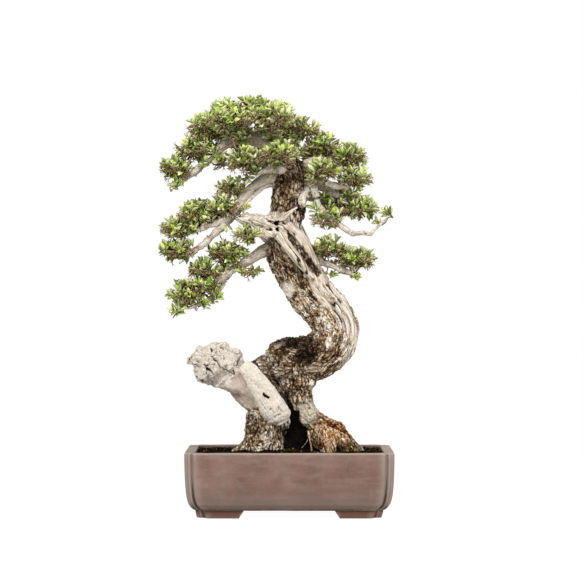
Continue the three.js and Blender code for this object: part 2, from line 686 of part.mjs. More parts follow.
function leafyPads(woodRoom) {
  const names = Object.keys(PADS);
  const bases = names.map((name) =>
    unionOf([stemSolid(PADS[name]), heartSolid(PADS[name])]).subtract(woodRoom),
  );
  const made = [];
  names.forEach((name, index) => {
    const taken = unionOf([woodRoom, ...made, ...bases.slice(index + 1)]);
    made.push(leafyPad(PADS[name], index, bases[index], taken));
  });
  return names.map((name, index) => [`leaves_${name}`, made[index]]);
}

// ---- the plant, put together -----------------------------------------------------------------------

const bark = new THREE.MeshStandardMaterial({ color: 0x9a8468, roughness: 0.92, metalness: 0 });
const clay = new THREE.MeshStandardMaterial({ color: 0x85695c, roughness: 0.75, metalness: 0 });
const earth = new THREE.MeshStandardMaterial({ color: 0x2e241b, roughness: 1, metalness: 0 });
const mesh = new THREE.MeshStandardMaterial({ color: 0x1d1f1e, roughness: 0.6, metalness: 0 });
const foliage = new THREE.MeshStandardMaterial({ color: 0x7c9438, roughness: 0.5, metalness: 0 });

const plant = new THREE.Group();

function addNode(name, solid, material, smallest) {
  const node = new THREE.Mesh(geometryOf(solid, smallest), material);
  node.name = name;
  plant.add(node);
}

const woodRoom = woodSolid(FIT_GAP);

addNode("pot", potSolid(), clay);
addNode("drain_screen_left", screenSolid(-1), mesh);
addNode("drain_screen_right", screenSolid(1), mesh);
addNode("soil", soilSolid(woodSolid(1)), earth, 0.6);
addNode("tree", largestBody(woodSolid()), bark, FIT_GAP);
for (const [name, solid] of leafyPads(woodRoom)) addNode(name, solid, foliage);

// The origin is on the table, at the middle of the plant's whole width and depth.
const bonsai = new THREE.Group();
bonsai.add(plant);
const extent = new THREE.Box3().setFromObject(plant);
plant.position.x = -(extent.min.x + extent.max.x) / 2;
plant.position.y = -(extent.min.y + extent.max.y) / 2;

export default bonsai;
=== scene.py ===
import math
import random
from itertools import product

import bmesh
import bpy
import numpy as np
from mathutils import Matrix, Vector
from mathutils.bvhtree import BVHTree
from mathutils.kdtree import KDTree


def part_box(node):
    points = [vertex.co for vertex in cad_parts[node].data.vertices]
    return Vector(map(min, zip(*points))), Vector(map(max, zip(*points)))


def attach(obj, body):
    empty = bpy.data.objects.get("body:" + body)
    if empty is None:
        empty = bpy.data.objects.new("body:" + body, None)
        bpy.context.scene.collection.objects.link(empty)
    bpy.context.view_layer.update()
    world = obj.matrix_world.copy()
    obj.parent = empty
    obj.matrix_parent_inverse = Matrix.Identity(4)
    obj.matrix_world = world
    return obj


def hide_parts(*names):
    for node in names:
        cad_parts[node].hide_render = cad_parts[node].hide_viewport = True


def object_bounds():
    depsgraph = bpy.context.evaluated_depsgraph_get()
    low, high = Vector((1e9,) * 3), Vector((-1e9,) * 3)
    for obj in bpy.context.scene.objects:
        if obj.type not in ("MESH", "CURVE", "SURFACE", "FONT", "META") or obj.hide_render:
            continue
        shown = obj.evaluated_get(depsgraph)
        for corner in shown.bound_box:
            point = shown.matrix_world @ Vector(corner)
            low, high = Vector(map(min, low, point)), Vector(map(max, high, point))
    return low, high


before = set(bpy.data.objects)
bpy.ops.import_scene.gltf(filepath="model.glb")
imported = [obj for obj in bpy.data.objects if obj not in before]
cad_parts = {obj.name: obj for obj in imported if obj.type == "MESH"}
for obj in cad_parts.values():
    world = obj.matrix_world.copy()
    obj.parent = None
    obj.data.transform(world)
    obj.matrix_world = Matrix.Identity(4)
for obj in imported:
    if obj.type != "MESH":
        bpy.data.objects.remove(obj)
cad_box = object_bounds()

# ---- Pot ---------------------------------------------------------------------------------------
# One fired piece of unglazed mauve-brown stoneware, pressed and trimmed by hand: an oblong with
# its upright corners stepped in, a flat rim, two drain holes and four L-shaped feet. The clay is
# greyer low down, redder on the feet, and rubbed pale along its corners.
MM = 0.001
POT_LENGTH, POT_DEPTH, POT_HEIGHT = 400, 296, 125
FOOT_HEIGHT, FLOOR_HEIGHT, RIM_WIDTH = 15, 27, 20
CORNER_STEP, CORNER_ROUND = 17, 9  # how far an upright corner is set in, and how round its edges are
CAVITY_CUT, CAVITY_ROUND = 20, 6  # the same for the cut-off corners of the cavity
FOOT_GAPS = ((86, 0), (58, math.pi / 2))  # half of each gap between two feet, and its turn
FOOT_FLARE = 10.5  # how much wider half a gap is at the table
DRAIN_RADIUS, DRAIN_OFFSET = 11, 95
TOOL_REACH = 250  # half the length of a cutting tool that goes right through
# each wall: a height, and how far the outline is drawn in there
OUTER_WALL = [
    (15, 18), (17, 15.5), (20, 12.5), (24, 9.8), (28, 7.5), (35, 5.5), (42, 4), (52, 2.8), (62, 1.8), (76, 1),
    (90, 0.4), (106, 0.15), (121, 0), (123.6, 0.35), (124.7, 1.2), (POT_HEIGHT, 2.4),
]
INNER_WALL = [
    (POT_HEIGHT, 18.6), (124.6, 19.6), (123.4, RIM_WIDTH), (109, RIM_WIDTH), (99, 15), (49, 19),
    (FLOOR_HEIGHT, 30),
]
FOOT_WALL = [(16.5, 20), (8, 21.5), (2, 23), (0.6, 23.5), (0, 24.6)]
FOOT_INSIDE = [(0, 45.4), (0.8, 46.2), (16.5, 50)]

pot_low, pot_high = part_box("pot")
POT_X = (pot_low.x + pot_high.x) / 2 / MM
POT_Y = (pot_low.y + pot_high.y) / 2 / MM


def all_round(quarter):
    """A whole outline, from the places in one of its quarters."""
    back = [(-x, y) for x, y in quarter[::-1]]
    return quarter + back + [(-x, -y) for x, y in quarter] + [(-x, -y) for x, y in back]


def corner(step, share):
    """One quarter of the rim's outline, with its corner set in by a share of the step."""
    x, y = POT_LENGTH / 2, POT_DEPTH / 2
    return [(x, y - step), (x - step * share, y - step * share), (x - step, y)]


STEPPED, CUT_OFF = all_round(corner(CORNER_STEP, 1)), all_round(corner(CAVITY_CUT, 0.3))


def drawn_in(reach, half, inset):
    """How far out a point of the pot's outline stays when the outline is drawn in all round."""
    flat = half - CORNER_STEP - CORNER_ROUND
    size = abs(reach)
    return math.copysign(size * (1 - inset / flat) if size <= flat else size - inset, reach)


def closed_outline(bm, corners, rounding):
    """A flat outline at the rim's size, its corners rounded and its long sides divided evenly."""
    face = bm.faces.new([bm.verts.new((x, y, 0)) for x, y in corners])
    bmesh.ops.bevel(
        bm, geom=list(face.verts), offset=rounding, offset_type="OFFSET", affect="VERTICES",
        segments=3, profile=0.5, material=-1,
    )
    for edge in [e for e in bm.edges if e.calc_length() > 20]:
        bmesh.ops.subdivide_edges(bm, edges=[edge], cuts=round(edge.calc_length() / 8) - 1)
    bmesh.ops.delete(bm, geom=list(bm.faces), context="FACES_ONLY")


def walled(bm, wall):
    """Draws a wall from a closed outline through its heights and insets."""
    drawn = bm.verts.layers.float_vector.new("drawn")
    for vert in bm.verts:
        vert[drawn] = vert.co
    edges = list(bm.edges)
    for step, (height, inset) in enumerate(wall):
        if step:
            made = bmesh.ops.extrude_edge_only(bm, edges=edges)["geom"]
            edges = [e for e in made if isinstance(e, bmesh.types.BMEdge)]
        for vert in {v for e in edges for v in e.verts}:
            x, y, _ = vert[drawn]
            vert.co = (drawn_in(x, POT_LENGTH / 2, inset), drawn_in(y, POT_DEPTH / 2, inset), height)


def shell(outside, inside, has_floor):
    """Clay between two walls, in millimetres: the pot's body, or the ring that its feet are cut from."""
    bm, ends = bmesh.new(), []
    for corners, rounding, wall in ((STEPPED, CORNER_ROUND, outside), (CUT_OFF, CAVITY_ROUND, inside)):
        part = bmesh.new()
        closed_outline(part, corners, rounding)
        walled(part, wall)
        carrier = bpy.data.meshes.new("part")
        part.to_mesh(carrier)
        part.free()
        before = len(bm.verts)
        bm.from_mesh(carrier)
        bpy.data.meshes.remove(carrier)
        bm.verts.ensure_lookup_table()
        made = set(bm.verts[before:])
        border = [e for e in bm.edges if e.is_boundary and e.verts[0] in made]
        middle = (wall[0][0] + wall[-1][0]) / 2
        ends.append([[e for e in border if (e.verts[0].co.z > middle) == upper] for upper in (True, False)])
    (outer_top, outer_low), (inner_top, inner_low) = ends
    if has_floor:
        bmesh.ops.bridge_loops(bm, edges=outer_top + inner_top)
        bmesh.ops.contextual_create(bm, geom=outer_low)
        bmesh.ops.contextual_create(bm, geom=inner_low)
    else:
        bmesh.ops.bridge_loops(bm, edges=outer_low + inner_low)
        bmesh.ops.bridge_loops(bm, edges=outer_top + inner_top)
    bmesh.ops.recalc_face_normals(bm, faces=bm.faces)
    return bm


def piece_of(bm, name):
    """An object in the shared frame, from a bmesh in millimetres from the middle of the pot."""
    bm.transform(Matrix.Translation((POT_X * MM, POT_Y * MM, 0)) @ Matrix.Scale(MM, 4))
    mesh = bpy.data.meshes.new(name)
    bm.to_mesh(mesh)
    bm.free()
    piece = bpy.data.objects.new(name, mesh)
    bpy.context.scene.collection.objects.link(piece)
    return piece


def settled(piece):
    """Applies every modifier of a piece to its mesh."""
    bpy.context.view_layer.update()
    seen = piece.evaluated_get(bpy.context.evaluated_depsgraph_get())
    mesh = bpy.data.meshes.new_from_object(seen)
    old, name = piece.data, piece.data.name
    piece.modifiers.clear()
    piece.data = mesh
    bpy.data.meshes.remove(old)
    mesh.name = name


def cut_with(piece, tool, operation):
    """Joins a tool to a piece, or cuts it away, and removes the tool."""
    cutter = piece.modifiers.new(operation.lower(), "BOOLEAN")
    cutter.operation, cutter.solver, cutter.object = operation, "EXACT", tool
    settled(piece)
    bpy.data.objects.remove(tool)


pot = piece_of(shell(OUTER_WALL, INNER_WALL, True), "clay_pot")
feet = piece_of(shell(FOOT_WALL, FOOT_INSIDE, False), "feet")
for half_gap, turn in FOOT_GAPS:
    bm = bmesh.new()
    bmesh.ops.create_grid(bm, x_segments=1, y_segments=1, size=1)
    for vert in bm.verts:
        reach, height = (half_gap, FOOT_HEIGHT) if vert.co.y > 0 else (half_gap + FOOT_FLARE, -1)
        vert.co = (math.copysign(reach, vert.co.x), -TOOL_REACH, height)
    made = bmesh.ops.extrude_face_region(bm, geom=list(bm.faces))["geom"]
    made = [v for v in made if isinstance(v, bmesh.types.BMVert)]
    bmesh.ops.translate(bm, verts=made, vec=(0, 2 * TOOL_REACH, 0))
    bmesh.ops.recalc_face_normals(bm, faces=bm.faces)
    bm.transform(Matrix.Rotation(turn, 4, "Z"))
    cut_with(feet, piece_of(bm, "gap"), "DIFFERENCE")
cut_with(pot, feet, "UNION")
for side in (-DRAIN_OFFSET, DRAIN_OFFSET):
    bm = bmesh.new()
    bmesh.ops.create_cone(
        bm, cap_ends=True, segments=32, radius1=DRAIN_RADIUS, radius2=DRAIN_RADIUS, depth=40,
        matrix=Matrix.Translation((side, 0, 20)),
    )
    cut_with(pot, piece_of(bm, "drain"), "DIFFERENCE")


def scatter(cell, seed):
    """A fixed number from 0 to 1 for each whole-numbered cell of space."""
    x, y, z = (cell[..., axis].astype(np.int64).astype(np.uint32) for axis in range(3))
    mixed = x * np.uint32(0x8DA6B343) ^ y * np.uint32(0xD8163841) ^ z * np.uint32(0xCB1AB31F)
    mixed ^= np.uint32(seed * 7919 + 17)
    for _ in range(2):
        mixed ^= mixed >> np.uint32(15)
        mixed *= np.uint32(0x5BD1E995)
        mixed ^= mixed >> np.uint32(13)
    return mixed / 2.0**32


def cloud(at, seed):
    """Smooth noise from 0 to 1, one lump to each unit."""
    cell = np.floor(at)
    share = at - cell
    share = share * share * (3 - 2 * share)
    total = np.zeros(len(at))
    for corner in product((0, 1), repeat=3):
        step = np.array(corner)
        total += np.where(step, share, 1 - share).prod(1) * scatter(cell + step, seed)
    return total


def layered(at, seed, layers=4):
    """Noise with finer and finer lumps in it, from 0 to 1."""
    total, weight = 0, 0
    for layer in range(layers):
        total = total + cloud(at * 2**layer + 11.3 * layer, seed + layer) / 2**layer
        weight += 1 / 2**layer
    return total / weight


def read(mesh, what="co"):
    values = np.empty(len(mesh.vertices) * 3)
    mesh.vertices.foreach_get(what, values)
    return values.reshape(-1, 3)


def write(mesh, places):
    mesh.vertices.foreach_set("co", places.ravel())
    mesh.update()


def mark(mesh, name, values, kind="FLOAT", domain="POINT"):
    """Stores one value for each point or face, which the material reads by its name."""
    field = "value" if kind == "FLOAT" else "vector"
    mesh.attributes.new(name, kind, domain).data.foreach_set(field, np.asarray(values, np.float32).ravel())


def edge_sharpness(mesh):
    """How far each point stands out of its neighbours, as a share of the distance to them."""
    at, normal = read(mesh), read(mesh, "normal")
    ends = np.empty(len(mesh.edges) * 2, np.int32)
    mesh.edges.foreach_get("vertices", ends)
    near, far = ends.reshape(-1, 2).T
    total, count = np.zeros(len(at)), np.full(len(at), 1e-9)
    for a, b in ((near, far), (far, near)):
        way = at[a] - at[b]
        np.add.at(total, a, (way * normal[a]).sum(1) / (np.linalg.norm(way, axis=1) + 1e-9))
        np.add.at(count, a, 1)
    return total / count


at, outward = read(pot.data), read(pot.data, "normal")
mark(pot.data, "rubbed", np.clip(edge_sharpness(pot.data) * 3, 0, 1))
hand = layered(at / MM / 45, 3, 2) + 0.35 * layered(at / MM / 9, 5, 2)
write(pot.data, at - outward * (np.clip(hand - 0.45, 0, 1) * 0.9 * MM)[:, None] * (at[:, 2:] > 1.5 * MM))
pot.data.shade_smooth()
pot.data.set_sharp_from_angle(angle=math.radians(38))


def tone(red, green, blue):
    """A colour as it is read off a screen, as the linear colour that a material takes."""
    return tuple(((part / 255 + 0.055) / 1.055) ** 2.4 for part in (red, green, blue)) + (1,)


class Value:
    """A socket inside a finish. Arithmetic on it adds Math nodes."""

    def __init__(self, finish, socket):
        self.finish, self.socket = finish, socket

    def maths(self, operation, first, second):
        return self.finish.node("ShaderNodeMath", {"operation": operation}, {0: first, 1: second})

    def __add__(self, other):
        return self.maths("ADD", self, other)

    def __radd__(self, other):
        return self.maths("ADD", other, self)

    def __sub__(self, other):
        return self.maths("SUBTRACT", self, other)

    def __rsub__(self, other):
        return self.maths("SUBTRACT", other, self)

    def __mul__(self, other):
        return self.maths("MULTIPLY", self, other)

    def __rmul__(self, other):
        return self.maths("MULTIPLY", other, self)


class Finish:
    """A material, built up from nodes."""

    def __init__(self, name):
        self.material = bpy.data.materials.new(name)
        self.material.use_nodes = True
        self.tree = self.material.node_tree
        self.tree.nodes.clear()

    def node(self, kind, settings=None, inputs=None, output=0):
        node = self.tree.nodes.new(kind)
        for key, setting in (settings or {}).items():
            if key == "stops":
                for index, (place, colour) in enumerate(setting):
                    stops = node.color_ramp.elements
                    stop = stops[index] if index < len(stops) else stops.new(place)
                    stop.position, stop.color = place, colour
            else:
                setattr(node, key, setting)
        for key, given in (inputs or {}).items():
            if isinstance(given, Value):
                self.tree.links.new(given.socket, node.inputs[key])
            else:
                node.inputs[key].default_value = given
        return Value(self, node.outputs[output]) if len(node.outputs) else None

    def place(self, stretch=(1, 1, 1), attribute=None):
        """Where the surface is: the object's own metres, or an attribute's, scaled along each axis."""
        if attribute:
            where = self.node("ShaderNodeAttribute", {"attribute_name": attribute}, output="Vector")
        else:
            where = self.node("ShaderNodeTexCoord", output="Object")
        return self.node("ShaderNodeMapping", {}, {"Vector": where, "Scale": stretch})

    def axis(self, where, name):
        return self.node("ShaderNodeSeparateXYZ", {}, {0: where}, name)

    def share(self, attribute):
        return self.node("ShaderNodeAttribute", {"attribute_name": attribute}, output="Fac")

    def noise(self, where, scale, detail=4.0, roughness=0.55):
        inputs = {"Vector": where, "Scale": scale, "Detail": detail, "Roughness": roughness}
        return self.node("ShaderNodeTexNoise", {}, inputs)

    def cells(self, where, scale, feature="F1", output=0):
        inputs = {"Vector": where, "Scale": scale}
        return self.node("ShaderNodeTexVoronoi", {"feature": feature}, inputs, output)

    def bent(self, where, amount):
        """The same places, pushed about by noise."""
        push = self.node("ShaderNodeTexNoise", {}, {"Vector": where, "Scale": 0.8, "Detail": 2.0}, "Color")
        push = self.node("ShaderNodeVectorMath", {"operation": "SUBTRACT"}, {0: push, 1: (0.5, 0.5, 0.5)})
        push = self.node("ShaderNodeVectorMath", {"operation": "SCALE"}, {0: push, "Scale": amount})
        return self.node("ShaderNodeVectorMath", {"operation": "ADD"}, {0: where, 1: push})

    def between(self, value, low, high):
        """0 below low, 1 above high, and a smooth way from one to the other."""
        return self.node(
            "ShaderNodeMapRange", {"interpolation_type": "SMOOTHSTEP"}, {"Value": value, 1: low, 2: high}
        )

    def mix(self, share, *colours):
        """Two colours, each a socket or a screen colour, blended by a share of the second."""
        first, second = (tone(*colour) if isinstance(colour, tuple) else colour for colour in colours)
        return self.node("ShaderNodeMix", {"data_type": "RGBA"}, {0: share, 6: first, 7: second}, 2)

    def ramp(self, value, *stops):
        """A run of colours over a value. Each stop is its place and a screen colour."""
        stops = [(place, tone(*colour)) for place, *colour in stops]
        return self.node("ShaderNodeValToRGB", {"stops": stops}, {0: value})

    def surface(self, colour, roughness, height, lift, gloss):
        """The finished surface, with relief of up to lift metres."""
        bump = self.node("ShaderNodeBump", {}, {"Height": height, "Distance": lift, "Strength": 1.0})
        inputs = {"Base Color": colour, "Roughness": roughness, "Specular IOR Level": gloss, "Normal": bump}
        shader = self.node("ShaderNodeBsdfPrincipled", {}, inputs)
        self.node("ShaderNodeOutputMaterial", {}, {"Surface": shader})
        return self.material


def coat(piece, material):
    """Gives a piece one material, in place of any that it has."""
    piece.data.materials.clear()
    piece.data.materials.append(material)


clay = Finish("unglazed_clay")
where = clay.place()
height = clay.axis(where, "Z")
fine, broad = clay.noise(where, 900), clay.noise(where, 22, 6, 0.62)
wiped = clay.noise(clay.place((0.3, 0.3, 1.8)), 60, 5, 0.6)
colour = clay.ramp(broad, (0.3, 107, 78, 66), (0.5, 121, 92, 81), (0.68, 135, 108, 98))
colour = clay.mix(clay.between(wiped, 0.45, 0.7) * 0.4, colour, (143, 120, 112))
colour = clay.mix(clay.between(wiped, 0.42, 0.3) * 0.3, colour, (112, 82, 70))
clouded = clay.noise(where, 34, 5, 0.7)
colour = clay.mix(clay.between(clouded, 0.5, 0.62) * 0.3, colour, (122, 112, 100))
colour = clay.mix(clay.between(clouded, 0.46, 0.34) * 0.35, colour, (138, 98, 86))
colour = clay.mix(clay.between(height + broad * 0.03, 0.09, 0.03) * 0.8, colour, (114, 97, 88))
off_x, off_y = (
    clay.node("ShaderNodeMath", {"operation": "ABSOLUTE"}, {0: clay.axis(where, axis) - middle})
    for axis, middle in (("X", POT_X * MM), ("Y", POT_Y * MM))
)
ends = clay.between(off_x + broad * 0.02, 0.184, 0.194)
# the inner wall below the rim, inside the pot, is made darker
inner_wall_below_rim = clay.between(off_x, 0.187, 0.183) * clay.between(off_y, 0.135, 0.131)
inner_wall_below_rim = inner_wall_below_rim * clay.between(height, 0.1235, 0.1205)
colour = clay.mix(clay.between(height, 0.016, 0.02) * ends * 0.6, colour, (128, 116, 102))
colour = clay.mix(clay.between(height + fine * 0.002, 0.1225, 0.1255) * 0.75, colour, (146, 134, 118))
colour = clay.mix(inner_wall_below_rim * 0.85, colour, (46, 33, 22))
colour = clay.mix(clay.between(height, 0.018, 0.013), colour, (104, 70, 54))
edge = clay.between(height + fine * 0.003, 0.0215, 0.0175) * clay.between(height, 0.0145, 0.0165)
colour = clay.mix(edge * clay.between(clay.noise(where, 30, 5), 0.42, 0.7) * 0.6, colour, (170, 158, 146))
colour = clay.mix(clay.share("rubbed") * 0.8, colour, (184, 168, 158))
grit = clay.between(clay.cells(where, 260), 0.17, 0.1) * clay.between(clay.noise(where, 90), 0.48, 0.6)
colour = clay.mix(grit * 0.75, colour, (80, 56, 46))
colour = clay.mix(clay.between(fine, 0.56, 0.72) * 0.3, colour, (178, 154, 144))
rough = clay.between(broad, 0.2, 0.8) * 0.15 + 0.68
coat(pot, clay.surface(colour, rough, fine + wiped + grit * -0.6, 0.0007, 0.25))
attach(pot, "root")
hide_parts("pot")

# ---- Drain screens -----------------------------------------------------------------------------
# Two squares of black moulded plastic mesh, laid over the drain holes to keep the soil in. They
# keep their solids from the model and are seen only through the holes, from below.
plastic = Finish("black_plastic_mesh")
where = plastic.place()
scuffs = plastic.noise(where, 400)
colour = plastic.ramp(scuffs, (0.35, 30, 31, 32), (0.7, 58, 58, 56))
black_plastic = plastic.surface(colour, scuffs * 0.3 + 0.35, scuffs, 0.0002, 0.5)
for name in ("drain_screen_left", "drain_screen_right"):
    coat(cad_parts[name], black_plastic)

# ---- Soil --------------------------------------------------------------------------------------
# Fired clay grains, grit and humus, filled to just under the rim and mounded to the trunk. The
# bulk is one body with a crumbly top, and loose grains lie on it, mostly dark with a few tan.
SOIL_LEVEL, SOIL_GAP = 119, 0.6
SOIL_X, SOIL_Y = POT_LENGTH / 2 - RIM_WIDTH - SOIL_GAP, POT_DEPTH / 2 - RIM_WIDTH - SOIL_GAP
SOIL_WALL = ((109, 20.6), (99, 15.6), (49, 19.6), (30, 29))  # its sides, as the pot's walls are given
MOUND, MOUND_X, MOUND_Y = 9, 170, 105  # the mound's height, and how far it reaches each way
GRAINS, GRAIN_SIZES = 1500, (0.9, 1.2, 1.6, 2.2)
GRAIN_X, GRAIN_Y, GRAIN_INSET = 178, 126, 23  # how far out the grains lie


def soil_height(x, y):
    from_legs = math.hypot((x - 5) / MOUND_X, y / MOUND_Y)
    waves = 1.2 * math.sin(x * 0.11 + 1.3) * math.cos(y * 0.13 - 0.4)
    return SOIL_LEVEL + MOUND * math.exp(-2 * from_legs * from_legs) + waves


def inside_pot(x, y, inset):
    """The nearest place to x, y that is inside the cut-cornered cavity."""
    half_x, half_y = POT_LENGTH / 2 - inset, POT_DEPTH / 2 - inset
    x, y = max(-half_x, min(half_x, x)), max(-half_y, min(half_y, y))
    over = abs(x) + abs(y) - (half_x + half_y - CAVITY_CUT)
    if over > 0:
        x, y = x - math.copysign(over / 2, x), y - math.copysign(over / 2, y)
    return x, y


bm = bmesh.new()
bmesh.ops.create_grid(bm, x_segments=140, y_segments=100, size=1)
for vert in bm.verts:
    x, y = inside_pot(vert.co.x * SOIL_X, vert.co.y * SOIL_Y, RIM_WIDTH + SOIL_GAP)
    vert.co = (x, y, soil_height(x, y))
rim = [e for e in bm.edges if e.is_boundary]
for height, inset in SOIL_WALL:
    made = bmesh.ops.extrude_edge_only(bm, edges=rim)["geom"]
    rim = [e for e in made if isinstance(e, bmesh.types.BMEdge)]
    stretch = (POT_LENGTH / 2 - inset) / SOIL_X
    for vert in {v for e in rim for v in e.verts}:
        vert.co = (*inside_pot(vert.co.x * stretch, vert.co.y * stretch, inset), height)
bmesh.ops.contextual_create(bm, geom=rim)
bmesh.ops.remove_doubles(bm, verts=bm.verts, dist=0.02)
bmesh.ops.recalc_face_normals(bm, faces=bm.faces)
soil = piece_of(bm, "soil_bulk")
at = read(soil.data)
mm = at / MM
crumbs = 3.2 * (layered(mm / 7, 21, 3) - 0.5) + 1.6 * (layered(mm / 22, 25, 2) - 0.5)
edge = np.minimum(SOIL_X - abs(mm[:, 0] - POT_X), SOIL_Y - abs(mm[:, 1] - POT_Y))
at[:, 2] += MM * crumbs * (mm[:, 2] > SOIL_WALL[0][0] + 3) * np.clip(edge / 4, 0.25, 1)
write(soil.data, at)
soil.data.shade_smooth()

earth = Finish("dark_soil")
where = earth.place()
lumps, grains = earth.noise(where, 120, 5), earth.cells(where, 420)
colour = earth.ramp(lumps, (0.3, 8, 5, 2), (0.55, 20, 14, 6), (0.75, 44, 31, 16))
pebble = earth.between(earth.cells(where, 300), 0.3, 0.2) * earth.between(lumps, 0.52, 0.62)
colour = earth.mix(pebble * 0.6, colour, (92, 70, 44))
green = earth.between(earth.noise(where, 26, 3), 0.56, 0.66)
colour = earth.mix(green * 0.6, colour, (74, 78, 30))
coat(soil, earth.surface(colour, grains * 0.2 + 0.75, grains + lumps, 0.0015, 0.0))
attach(soil, "root")
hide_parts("soil")


def copied(master, frames):
    """Vertices and faces of many copies of one small shape, each placed by a 3 x 4 matrix."""
    places, frames = np.array([v.co for v in master.verts]), np.reshape(frames, (-1, 3, 4))
    faces = [[v.index for v in f.verts] for f in master.faces]
    turned = np.einsum("kij,nj->kni", frames[:, :, :3], places) + frames[:, None, :, 3]
    steps = np.arange(len(frames)) * len(places)
    return turned.reshape(-1, 3), [[i + int(step) for i in face] for step in steps for face in faces]


def placed(turn, start):
    """A 3 x 4 matrix, from a 3 x 3 one and a place."""
    return [list(turn[row]) + [start[row]] for row in range(3)]


def object_of(name, verts, faces, material):
    mesh = bpy.data.meshes.new(name)
    mesh.from_pydata(verts, [], faces)
    mesh.materials.append(material)
    piece = bpy.data.objects.new(name, mesh)
    bpy.context.scene.collection.objects.link(piece)
    return piece


draw = random.Random(41)
grain_shape = bmesh.new()
bmesh.ops.create_icosphere(grain_shape, subdivisions=1, radius=1)
grain_shape.verts.index_update()
frames, tints = [], []
while len(frames) < GRAINS:
    x, y = draw.uniform(-GRAIN_X, GRAIN_X), draw.uniform(-GRAIN_Y, GRAIN_Y)
    if inside_pot(x, y, GRAIN_INSET) != (x, y):
        continue
    size = draw.choice(GRAIN_SIZES) * draw.uniform(0.8, 1.2)
    turn = draw.uniform(0, 6.3)
    turn = Matrix.Rotation(turn, 3, Vector((draw.random(), draw.random(), 0.5)).normalized())
    turn = turn @ Matrix.Diagonal((size, size * draw.uniform(0.7, 1), size * draw.uniform(0.5, 0.8)))
    frames.append(placed(turn, (x + POT_X, y + POT_Y, soil_height(x, y) + 0.3)))
    tints.append(draw.random())
verts, faces = copied(grain_shape, np.array(frames))
grit = Finish("soil_grains")
colour = grit.ramp(
    grit.share("tint"), (0.0, 10, 7, 3), (0.5, 26, 18, 9), (0.8, 56, 38, 20),
    (0.95, 104, 78, 48), (1.0, 164, 144, 112),
)
fine = grit.noise(grit.place(), 1500, 2)
gritty = grit.surface(colour, fine * 0.3 + 0.65, fine, 0.0004, 0.02)
grains_piece = object_of("soil_grains", verts * MM, faces, gritty)
mark(grains_piece.data, "tint", np.repeat(tints, len(grain_shape.verts)))
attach(grains_piece, "root")
